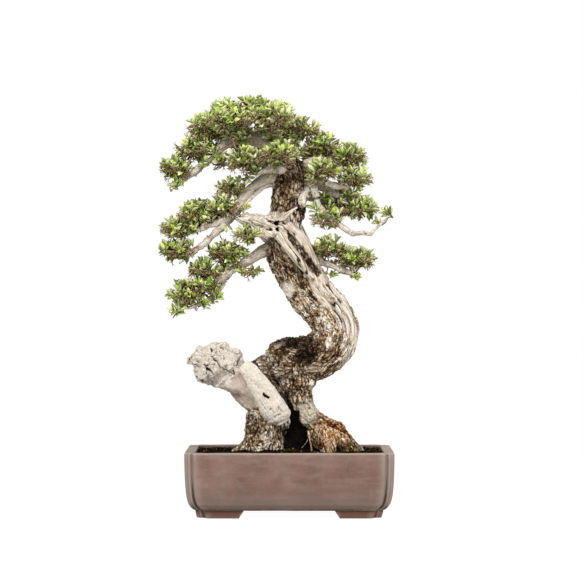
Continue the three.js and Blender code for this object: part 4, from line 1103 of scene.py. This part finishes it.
def stump_marks(at, outward, name, marks):
    x, _, z = at.T
    head = 1 - eased(x - 0.35 * (z - 280), -112, -92)
    head = np.maximum(head, near(at, -112, 298, 30, 28))
    marks["bare"] = np.maximum(eased(z + 14 * (layered(at / 16, 403, 2) - 0.5), 200, 216), head) * (z > 190)
    marks["chalk"] = np.maximum(head, 0.85) * eased(z, 196, 222)
    marks["dark"] = 0.15 + 0.65 * (1 - head) * eased(z, 196, 222)
    marks["smooth"] = 0.9 * eased(z, 200, 230) * (1 - head)
    marks["pale"] = 0.35 * eased(z, 140, 122) + 0.3 * eased(x, -40, -12) * eased(z, 150, 176)
    # painted shade on the leg's flank beside the hollow
    marks["painted_shade"] = 0.55 * eased(x, -22, -8) * (1 - eased(z, 150, 185))
    cut_grooves(at, marks, outward[:, 1] < 0, (
        (-154, 318, -152, 315, 3.4, 4), (-150, 302, -128, 277, 2.2, 3.2), (-150, 302, -128, 311, 1.6, 2),
        (-158, 277, -150, 269, 3.6, 4), (-168, 288, -160, 280, 2.6, 3), (-110, 275, -108, 271, 2.6, 4),
        (-97, 302, -100, 289, 2.6, 3.5), (-128, 277, -108, 268, 1.8, 2.6), (-134, 322, -98, 309, 1.8, 2.2),
        (-176, 300, -160, 308, 1.8, 1.6), (-186, 263, -168, 254, 3, 3.4), (-137, 302, -134, 300, 2.2, 2.4),
        (-144, 312, -143, 311, 2, 3), (-104, 306, -103, 305, 2, 3),
    ))
    # painted shade in the dug holes
    marks["painted_shade"] = np.maximum(marks["painted_shade"], 0.75 * eased(marks["dug"], 1.6, 3.4))


wooden(grown("tree_stump", stump_limbs, 1.6), stump_limbs, 160, stump_marks)

# ---- Plank over the stump ----------------------------------------------------------------------
# A flat strip of sun-bleached heartwood that runs down from the stump's head across the hollow,
# with a slot rotted through it and a torn lower end.
slab_limbs = {"slab": Limb(LIMBS["slab"], depth=DEPTHS["slab"])}


def slab_marks(at, outward, name, marks):
    marks["bare"] += 1
    marks["chalk"] += 0.72
    marks["smooth"] += 0.7
    cut_grooves(at, marks, outward[:, 1] < 0, (
        (-52, 231, -42, 223, 3, 9), (-41, 199, -37, 203, 2.6, 3), (-22, 206, -17, 197, 3, 2.6),
        (-58, 214, -46, 200, 1.8, 1.4), (-80, 262, -60, 240, 1.4, 1.3), (-30, 186, -20, 192, 2.6, 2),
    ))
    # painted shade inside the rotted slot
    marks["painted_shade"] = 0.9 * (marks["dug"] > 3)


wooden(grown("tree_plank", slab_limbs, 1.4), slab_limbs, 260, slab_marks)

# ---- Stripped deadwood -------------------------------------------------------------------------
# Two ropy strands of bare heartwood that run from the dead stub down the trunk's flank, the stub
# itself with its horn and rot holes, and a long splinter that stands off the trunk.
dead_limbs = {key: Limb(LIMBS[key]) for key in ("jin", "jin_horn", "splinter", "strand_front", "strand_side")}


def dead_marks(at, outward, name, marks):
    z = at[:, 2]
    barky = near(at, -27, 513, 24, 26, 0.3) * (name != "splinter")
    strand = np.isin(name, ("strand_front", "strand_side"))
    # the hollow right of the splinter, dug in and painted darker brown: painted shade
    shaded_recess = groove(at, -8, 540, 54, 466, 12) * strand * (outward[:, 1] < 0.3)
    patched = eased(layered(at / (10, 10, 26), 407, 3), 0.5, 0.6) * (1 - eased(z, 430, 490)) * strand
    marks["bare"] += 1 - np.maximum.reduce([0.9 * barky, 0.8 * shaded_recess, 0.6 * patched])
    marks["dark"] = np.maximum.reduce([0.75 * barky, 0.75 * shaded_recess, 0.25 * patched])
    marks["dug"] = 4 * shaded_recess
    marks["smooth"] = 0.8 * near(at, 20, 530, 13, 18) * strand
    cut_grooves(at, marks, (outward[:, 1] < 0.3) * (name != "splinter"), (
        (-27, 561, -26, 560, 5, 8), (-25, 550, -24, 548, 5, 8), (70, 443, 99, 411, 3, 4),
        (97, 413, 112, 386, 6, 8), (-62, 556, -30, 545, 3, 2.5), (30, 448, 44, 440, 3, 3),
        (52, 424, 64, 410, 3, 4),
    ))
    # painted shade in the deepest holes
    marks["painted_shade"] = 0.6 * eased(marks["dug"], 4, 8)


wooden(grown("tree_deadwood", dead_limbs, 1.7), dead_limbs, 360, dead_marks)

# ---- Branches ----------------------------------------------------------------------------------
# Crooked living branches with thin pale bark, scarred where shoots were clipped. Each leaves the
# collar that the trunk has grown round it and tapers to the pads that it carries.
CROWN_HEIGHT = 690
bm = bmesh.new()
draw = random.Random(7)
living_points = []  # where a branch can bear shoots, and its radius there
for key in LIVING:
    stations = LIMBS[key]
    limb = Limb(stations, pace=3.0)
    begin = 0
    if stations[0][3] >= COLLAR_START:
        collar_end = np.array(thick_part(stations)[-1][:3]) + (TREE_X, 0, TREE_Z)
        begin = max(0, np.linalg.norm(limb.line - collar_end, axis=1).argmin() - 3)
    line, radius = limb.line[begin:], limb.radius[begin:].copy()
    rows = [np.full((len(limb.along), 2), row) for row in (72, 1320, 2184)]
    bends = [layered(np.column_stack((limb.along, row)) / 24, 70, 2) - 0.5 for row in rows]
    crook = np.stack(bends, 1)[begin:]
    crook *= np.minimum(radius, 5.5)[:, None] * eased(np.arange(len(line)), 0, 8)[:, None]
    knots = layered(np.column_stack((limb.along[begin:], np.zeros((len(line), 2)))) / 7, len(key), 2)
    radius *= 0.66 + 0.62 * knots
    tube(bm, line + crook, radius, limb.front[begin:], limb.across[begin:], 11)
    for point, size in zip(line + crook, radius):
        living_points.append((Vector(point), size if point[2] < CROWN_HEIGHT else size * 0.7))
    for index in range(4, len(line) - 2, 5):
        if draw.random() < 0.55 and radius[index] < 9:
            turn, ahead = draw.uniform(0, 2 * math.pi), limb.forward[begin + index]
            way = limb.front[begin + index] * math.cos(turn) + limb.across[begin + index] * math.sin(turn)
            spur = [line[index] + crook[index] + way * radius[index] * s for s in (0.3, 1.1, 1.45)]
            thick = np.array([0.5, 0.34, 0.2]) * radius[index]
            tube(bm, np.array(spur), thick, [ahead] * 3, [np.cross(way, ahead)] * 3, 6)
bmesh.ops.recalc_face_normals(bm, faces=bm.faces)
branches = piece_of(bm, "tree_branches")
at, outward = read(branches.data) / MM - (POT_X, POT_Y, 0), read(branches.data, "normal")
branch_limbs = {key: Limb(LIMBS[key]) for key in LIVING}
place, size, _ = follow(at, branch_limbs)
relief = layered(place / (5, 5, 9), 81, 3) - 0.5
height = relief * np.clip(size * 0.3, 0.5, 2.4)
write(branches.data, (at + outward * height[:, None] + (POT_X, POT_Y, 0)) * MM)
pale = layered(place / (12, 12, 40), 83, 2)
scar = eased(layered(place / (9, 9, 16), 85, 2), 0.52, 0.62)
# bark painted lighter on its bumps and darker in its dips: painted highlight and painted shade
finish_wood(branches, place, {
    "plate": 0.8 + 1.4 * relief, "bare": 0.72 + 1.6 * (pale - 0.45) - 0.5 * scar,
    "crack": 0.7 * eased(relief, -0.06, -0.3), "dark": 0.1 + 0.7 * scar,
    "chalk": 1.2 * layered(place / (14, 14, 30), 89, 2),
})
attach(branches, "root")
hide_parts("tree")

# ---- Leafy pads --------------------------------------------------------------------------------
# Each pad is a fan of thin brown twigs that ends in short green shoots. A shoot bears pairs of
# leathery leaves, every pair turned a quarter from the last, and closes in an upright tuft. Old
# clipped twigs stand bare and tangled under it.
leaf = bmesh.new()
bmesh.ops.create_grid(leaf, x_segments=2, y_segments=4, size=1)
WIDTHS = (0.1, 0.62, 0.98, 0.86, 0.0)  # of a blade, from stalk to tip
for vert in leaf.verts:
    across, along = vert.co.x, (vert.co.y + 1) / 2
    width = WIDTHS[round(along * 4)]
    vert.co = (across * width * 0.5, along, 0.16 * abs(across) * width - 0.28 * (along - 0.35) ** 2)
bmesh.ops.remove_doubles(leaf, verts=leaf.verts, dist=1e-4)
under = bmesh.ops.duplicate(leaf, geom=list(leaf.verts) + list(leaf.edges) + list(leaf.faces))["geom"]
bmesh.ops.reverse_faces(leaf, faces=[f for f in under if isinstance(f, bmesh.types.BMFace)])
for vert in (v for v in under if isinstance(v, bmesh.types.BMVert)):
    if abs(vert.co.x) < 1e-5 and 0.1 < vert.co.y < 0.9:
        vert.co.z -= 0.09
bmesh.ops.remove_doubles(leaf, verts=leaf.verts, dist=1e-4)
leaf.verts.index_update()
leaf.normal_update()
leaf_under = [f.normal.z < 0 for f in leaf.faces]
leaf_count = len(leaf.verts)


def bent_twig(bm, start, end, r1, r2, draw, sides=5):
    """A thin crooked tube between two places."""
    way = end - start
    side = way.orthogonal().normalized()
    other = way.cross(side).normalized()
    kink = (side * draw.uniform(-1, 1) + other * draw.uniform(-1, 1)) * way.length * 0.12
    line = [start, start.lerp(end, 0.5) + kink, end]
    tube(bm, np.array(line), np.array([r1, (r1 + r2) / 2, r2]), [side] * 3, [other] * 3, sides)


draw = random.Random(5)
old_twig = bmesh.new()  # one unit long: a crooked stem with two short side spurs
elbow, end = Vector((0.1, 0.03, 0.5)), Vector((-0.05, 0.02, 1))
bent_twig(old_twig, Vector((0, 0, 0)), elbow, 0.062, 0.05, draw, 4)
bent_twig(old_twig, elbow, end, 0.05, 0.03, draw, 4)
bent_twig(old_twig, elbow, Vector((0.42, -0.06, 0.8)), 0.036, 0.024, draw, 3)
bent_twig(old_twig, Vector((0.02, 0.03, 0.72)), Vector((-0.3, 0.2, 0.9)), 0.034, 0.022, draw, 3)
bmesh.ops.recalc_face_normals(old_twig, faces=old_twig.faces)
old_twig.verts.index_update()

blade = Finish("olive_leaf")
tint, shade, below = blade.share("tint"), blade.share("shade"), blade.share("below")
lit = blade.ramp(tint, (0.0, 108, 152, 24), (0.35, 166, 194, 62), (0.7, 212, 222, 116), (1.0, 248, 248, 196))
deep = blade.ramp(tint, (0.0, 16, 24, 2), (0.5, 64, 78, 14), (1.0, 128, 134, 50))
colour = blade.mix(shade, deep, lit)
colour = blade.mix(below * 0.6, colour, blade.mix(shade, (128, 128, 74), (206, 208, 156)))
colour = blade.mix(blade.share("yellow"), colour, (226, 186, 40))
ribs = blade.noise(blade.place(), 700, 2)
colour = blade.mix(blade.between(ribs, 0.5, 0.75) * 0.25, colour, (206, 208, 142))
leaf_material = blade.surface(colour, ribs * 0.2 + 0.42, ribs, 0.0003, 0.28)

twig = Finish("twig_bark")
rough = twig.noise(twig.place(), 420, 4)
colour = twig.ramp(rough, (0.34, 40, 25, 8), (0.46, 110, 82, 48), (0.6, 200, 176, 138))
colour = twig.mix(twig.share("green"), colour, (134, 134, 70))
twig_material = twig.surface(colour, 0.8, rough, 0.0006, 0.2)

jin_tip = Vector((-84 + TREE_X, -26, 566 + TREE_Z))
living_points.append((jin_tip, 8))
limb_tree = KDTree(len(living_points))
for index, (point, _) in enumerate(living_points):
    limb_tree.insert(point, index)
limb_tree.balance()
box_low, box_high = (np.array(corner) / MM for corner in cad_box)


SHOOT_TRIES, SHOOT_SPACING, INNER_SPACING = 900, 14.5, 14
SMALL_PAD, NARROW_PAD, FLAT_PAD = 14, 24, 14  # half sizes: a single shoot, an open pad, a pad with no tangle
TANGLE_ROOM = 320  # the cubic millimetres of an eighth of a pad to each old twig
SHOOT_LENGTHS, TANGLE_LENGTHS, STUB_LENGTHS = (10, 21), (12, 22), (9, 18)
LEAF_LENGTHS, LEAF_WIDTHS = (14.5, 22.5), (0.36, 0.48)  # the width as a share of the length
LOW_PAIR_LOST, LEAF_LOST, LEAF_YELLOWED = 0.22, 0.06, 0.0015  # the chance of each
# each pair of leaves, from low to high: how far up the shoot, how far it spreads, and its size
LEAF_PAIRS = ((0.3, 0.95, 0.85), (0.6, 0.8, 1), (0.82, 0.6, 1), (1, 0.34, 0.9))


def shoot_places(draw, half, spacing, share, least_rise):
    """Places all over a lumpy oval, evenly spread, with few of them on its underside."""
    ways = np.array([[draw.gauss(0, 1) for _ in range(3)] for _ in range(SHOOT_TRIES)])
    ways /= np.linalg.norm(ways, axis=1)[:, None]
    swell = 0.72 + 0.48 * cloud(ways * 1.9 + 40, draw.randrange(99))
    spots = ways * np.array(half) * (share * swell)[:, None]
    found, kept = [], np.empty((0, 3))
    for way, spot in zip(ways, spots):
        if way[2] < least_rise and draw.random() > 0.12:
            continue
        if not len(kept) or np.linalg.norm(kept - spot, axis=1).min() > spacing:
            kept = np.vstack((kept, spot))
            found.append((Vector(spot), Vector(way / np.array(half)).normalized()))
    return found


def leafy_pad(node, number):
    """One pad, in the place of its solid."""
    draw = random.Random(1000 + number)
    low, top = (Vector(corner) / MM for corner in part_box(node))
    offset = Vector((POT_X, POT_Y, 0))
    centre, half = (low + top) / 2 - offset, (top - low) / 2
    anchor = limb_tree.find(centre - Vector((0, 0, half.z * 0.45)))[0]
    breadth = half.x + 4 if node.endswith("fore") else max(half.x - 7, 4)
    reach = Vector((breadth, max(half.y - 8, 4), max(half.z - 8, 4)))
    sparse = 1.6 if half.x < NARROW_PAD else 1
    places = shoot_places(draw, reach, SHOOT_SPACING * sparse, 1.0, -0.65)
    places += shoot_places(draw, reach, INNER_SPACING * sparse, 0.62, -0.75)
    stubs = []
    for point, size in living_points if half.x >= SMALL_PAD else ():
        way, high = point - centre, point.z > CROWN_HEIGHT
        off = (way.x / half.x) ** 2 + (way.y / half.y) ** 2 + (way.z / half.z / 1.6) ** 2
        if high and off < 4 and draw.random() < 0.55:
            stubs.append((point, size))
        if off < (3 if high else 1.8) and size < 10 and draw.random() < (0.3 if high else 0.2):
            out = Vector((draw.gauss(0, 1), draw.gauss(-0.7 * high, 1), draw.gauss(0.35, 0.8))).normalized()
            places.append((way + out * (size + draw.uniform(6, 13)), out))
    bm = bmesh.new()
    green, frames, tints, shades, yellows = [], [], [], [], []

    # every shoot's foot joins the nearest place that is already reached by a twig
    shoots = []
    for point, normal in places:
        stray = Vector((draw.gauss(0, 0.3), draw.gauss(0, 0.3), draw.gauss(0, 0.2)))
        way = (normal * 0.8 + Vector((0, 0, 0.7)) + stray).normalized()
        length = draw.uniform(*SHOOT_LENGTHS) * min(1, min(half) / NARROW_PAD + 0.2)
        tip = centre + point
        shoots.append((tip - way * length, tip, way))
    shoots.sort(key=lambda shoot: (shoot[0] - anchor).length)
    forks, joined = [(anchor, -1, 0)], []
    for base, _, _ in shoots:
        best = min(range(len(forks)), key=lambda i: (forks[i][0] - base).length + 0.25 * forks[i][2])
        start = forks[best][0]
        gap = (base - start).length
        parts = max(1, round(gap / 18))
        for part in range(1, parts + 1):
            wobble = Vector([draw.gauss(0, 1.3) for _ in range(3)]) if part < parts else Vector()
            forks.append((start.lerp(base, part / parts) + wobble, best, forks[best][2] + gap / parts))
            best = len(forks) - 1
        joined.append(best)
    load = [0] * len(forks)
    for end in joined:
        while end >= 0:
            load[end] += 1
            end = forks[end][1]
    for index in range(1, len(forks)):
        point, parent, _ = forks[index]
        thick, thin = (0.7 + 0.36 * math.sqrt(max(load[i], 1)) for i in (parent, index))
        bent_twig(bm, forks[parent][0], point, min(thick, thin * 1.25), thin, draw)
    green += [0.0] * len(bm.verts)

    for base, tip, way in shoots:
        before = len(bm.verts)
        bent_twig(bm, base, tip, 0.8, 0.5, draw, 3)
        green += [0.6] * (len(bm.verts) - before)
        side = way.orthogonal().normalized()
        side.rotate(Matrix.Rotation(draw.uniform(0, math.pi), 3, way))
        own_light = draw.gauss(0, 0.15)
        for level, (share, spread, scale) in enumerate(LEAF_PAIRS):
            if level < 2 and draw.random() < LOW_PAIR_LOST:
                continue
            arm = side if level % 2 else way.cross(side)
            for turn in (1, -1):
                if draw.random() < LEAF_LOST:
                    continue
                angle = spread * draw.uniform(0.75, 1.2)
                stray = Vector([draw.gauss(0, 0.2) for _ in range(3)])
                radial = (arm * turn + stray).normalized()
                ahead = (way * math.cos(angle) + radial * math.sin(angle)).normalized()
                face = way * math.sin(angle) - radial * math.cos(angle)
                face = (face - ahead * face.dot(ahead)).normalized()
                sideways = ahead.cross(face)
                size = draw.uniform(*LEAF_LENGTHS) * scale
                wide = size * draw.uniform(*LEAF_WIDTHS)
                start = base.lerp(tip, share) + offset
                waist, edge = start + ahead * size * 0.6, sideways * wide * 0.5
                ends = np.array([start + ahead * size, waist + edge, waist - edge])
                if (ends < box_low + 0.3).any() or (ends > box_high - 0.3).any():
                    continue
                shaped = Matrix((sideways * wide, ahead * size, face * size)).transposed()
                frames.append(placed(shaped, start))
                tints.append(min(1, max(0, draw.gauss(0.55, 0.36))))
                way_out = start + ahead * size * 0.5 - centre - offset
                depth = math.hypot(way_out.x / half.x, way_out.y / half.y, way_out.z / half.z)
                lit = 0.32 + 0.32 * way_out.z / half.z + 1.4 * (depth - 0.55)
                shades.append(min(1, max(0, lit + own_light + draw.gauss(0, 0.58))))
                yellows.append(float(draw.random() < LEAF_YELLOWED))

    tangle = []

    def add_old_twig(start, out, lengths):
        turn = draw.uniform(0, 6.3)
        turn = out.to_track_quat("Z", "X").to_matrix() @ Matrix.Rotation(turn, 3, "Z")
        length = draw.uniform(*lengths)
        if (np.array(start) - length > box_low).all() and (np.array(start) + length < box_high).all():
            tangle.append(placed(turn * length, start))

    for _ in range(round(half.x * half.y * half.z / TANGLE_ROOM) if half.z > FLAT_PAD else 3):
        spot = Vector((draw.uniform(-0.9, 0.9) * reach.x, draw.uniform(-0.9, 0.9) * reach.y, 0))
        level = max(0, 1 - (spot.x / reach.x) ** 2 - (spot.y / reach.y) ** 2) ** 0.5
        spot.z = -reach.z * level * draw.uniform(0.3, 1.15)
        out_x, out_y = spot.x / reach.x + draw.gauss(0, 0.6), spot.y / reach.y + draw.gauss(0, 0.6)
        out = Vector((out_x, out_y, draw.gauss(0.1, 0.45))).normalized()
        add_old_twig(centre + offset + spot, out, TANGLE_LENGTHS)
    for point, size in stubs:
        out = Vector((draw.gauss(0, 1), draw.gauss(-0.5, 0.9), draw.gauss(0.3, 0.7))).normalized()
        add_old_twig(point + offset + out * size * 0.8, out, STUB_LENGTHS)

    verts, faces = copied(leaf, np.array(frames))
    old_verts, old_faces = copied(old_twig, np.array(tangle))
    bm.verts.index_update()
    twig_verts = np.array([v.co for v in bm.verts]) + np.array(offset)
    step = len(verts)
    twig_faces = [[v.index + step for v in f.verts] for f in bm.faces]
    step += len(twig_verts)
    twig_faces += [[index + step for index in face] for face in old_faces]
    bm.free()
    every = np.vstack((verts, twig_verts, old_verts)) * MM
    piece = object_of("pad_" + node.removeprefix("leaves_"), every, faces + twig_faces, leaf_material)
    mesh = piece.data
    mesh.materials.append(twig_material)
    kinds = np.repeat((0, 1), (len(faces), len(twig_faces)))
    mesh.polygons.foreach_set("material_index", kinds.astype(np.int32))
    bare = np.zeros(len(twig_verts) + len(old_verts))
    for key, values in (("tint", tints), ("shade", shades), ("yellow", yellows)):
        mark(mesh, key, np.concatenate((np.repeat(values, leaf_count), bare)))
    mark(mesh, "green", np.concatenate((np.zeros(len(verts)), green, np.zeros(len(old_verts)))))
    below = np.concatenate((np.tile(leaf_under, len(frames)), np.zeros(len(twig_faces))))
    mark(mesh, "below", below, domain="FACE")
    mesh.shade_smooth()
    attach(piece, "root")
    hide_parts(node)


pad_nodes = sorted(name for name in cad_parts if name.startswith("leaves_"))
for number, node in enumerate(pad_nodes):
    leafy_pad(node, number)

# ---- Studio ------------------------------------------------------------------------------------
# A plain white sweep in soft light, strongest from the left, weaker from the right and from above,
# and a long lens level with the middle of the trunk.
SENSOR, FOCAL_PIXELS, PICTURE_PIXELS = 36, 2579, 584
CAMERA_AWAY, CAMERA_HEIGHT = 5018, 0.430

bm = bmesh.new()
bmesh.ops.create_grid(bm, x_segments=2, y_segments=2, size=12)
mesh = bpy.data.meshes.new("studio_floor")
bm.to_mesh(mesh)
bm.free()
floor = bpy.data.objects.new("studio_floor", mesh)
bpy.context.scene.collection.objects.link(floor)
paper = Finish("white_paper")
sheet = paper.node("ShaderNodeBsdfPrincipled", {}, {"Base Color": (0.6, 0.6, 0.59, 1), "Roughness": 0.9})
backlit = paper.node("ShaderNodeEmission", {}, {"Color": (1, 1, 1, 1), "Strength": 1.08})
straight = paper.node("ShaderNodeLightPath", output="Is Camera Ray")
both = paper.node("ShaderNodeMixShader", {}, {0: straight * 0.9, 1: sheet, 2: backlit})
paper.node("ShaderNodeOutputMaterial", {}, {"Surface": both})
mesh.materials.append(paper.material)

world = bpy.data.worlds.new("studio_air")
bpy.context.scene.world = world
world.use_nodes = True
nodes, links = world.node_tree.nodes, world.node_tree.links
nodes.clear()
path, both, out = (nodes.new("ShaderNode" + kind) for kind in ("LightPath", "MixShader", "OutputWorld"))
links.new(path.outputs["Is Camera Ray"], both.inputs[0])
for socket, strength in ((1, 0.46), (2, 1.0)):  # the light on the object, and the white behind it
    air = nodes.new("ShaderNodeBackground")
    air.inputs["Color"].default_value, air.inputs["Strength"].default_value = (1, 1, 1, 1), strength
    links.new(air.outputs[0], both.inputs[socket])
links.new(both.outputs[0], out.inputs["Surface"])

for name, at, size, power in (
    ("softbox_left", (-1.3, -2.2, 2.3), 0.8, 76),
    ("softbox_right", (2.0, -1.6, 1.5), 1.1, 36),
    ("softbox_top", (0.2, 0.3, 2.4), 1.0, 18),
):
    lamp = bpy.data.lights.new(name, "AREA")
    lamp.shape, lamp.size, lamp.energy = "SQUARE", size, power
    box = bpy.data.objects.new(name, lamp)
    box.location = at
    box.rotation_euler = (Vector((0, 0, 0.42)) - Vector(at)).to_track_quat("-Z", "Y").to_euler()
    bpy.context.scene.collection.objects.link(box)

lens = bpy.data.cameras.new("long_lens")
lens.sensor_width, lens.lens = SENSOR, FOCAL_PIXELS * SENSOR / PICTURE_PIXELS
camera = bpy.data.objects.new("long_lens", lens)
camera.location = ((POT_X + 5) * MM, (POT_Y - CAMERA_AWAY) * MM, CAMERA_HEIGHT)
camera.rotation_euler = (math.pi / 2, 0, 0)
bpy.context.scene.collection.objects.link(camera)
bpy.context.scene.camera = camera
bpy.context.scene.view_settings.view_transform = "Standard"
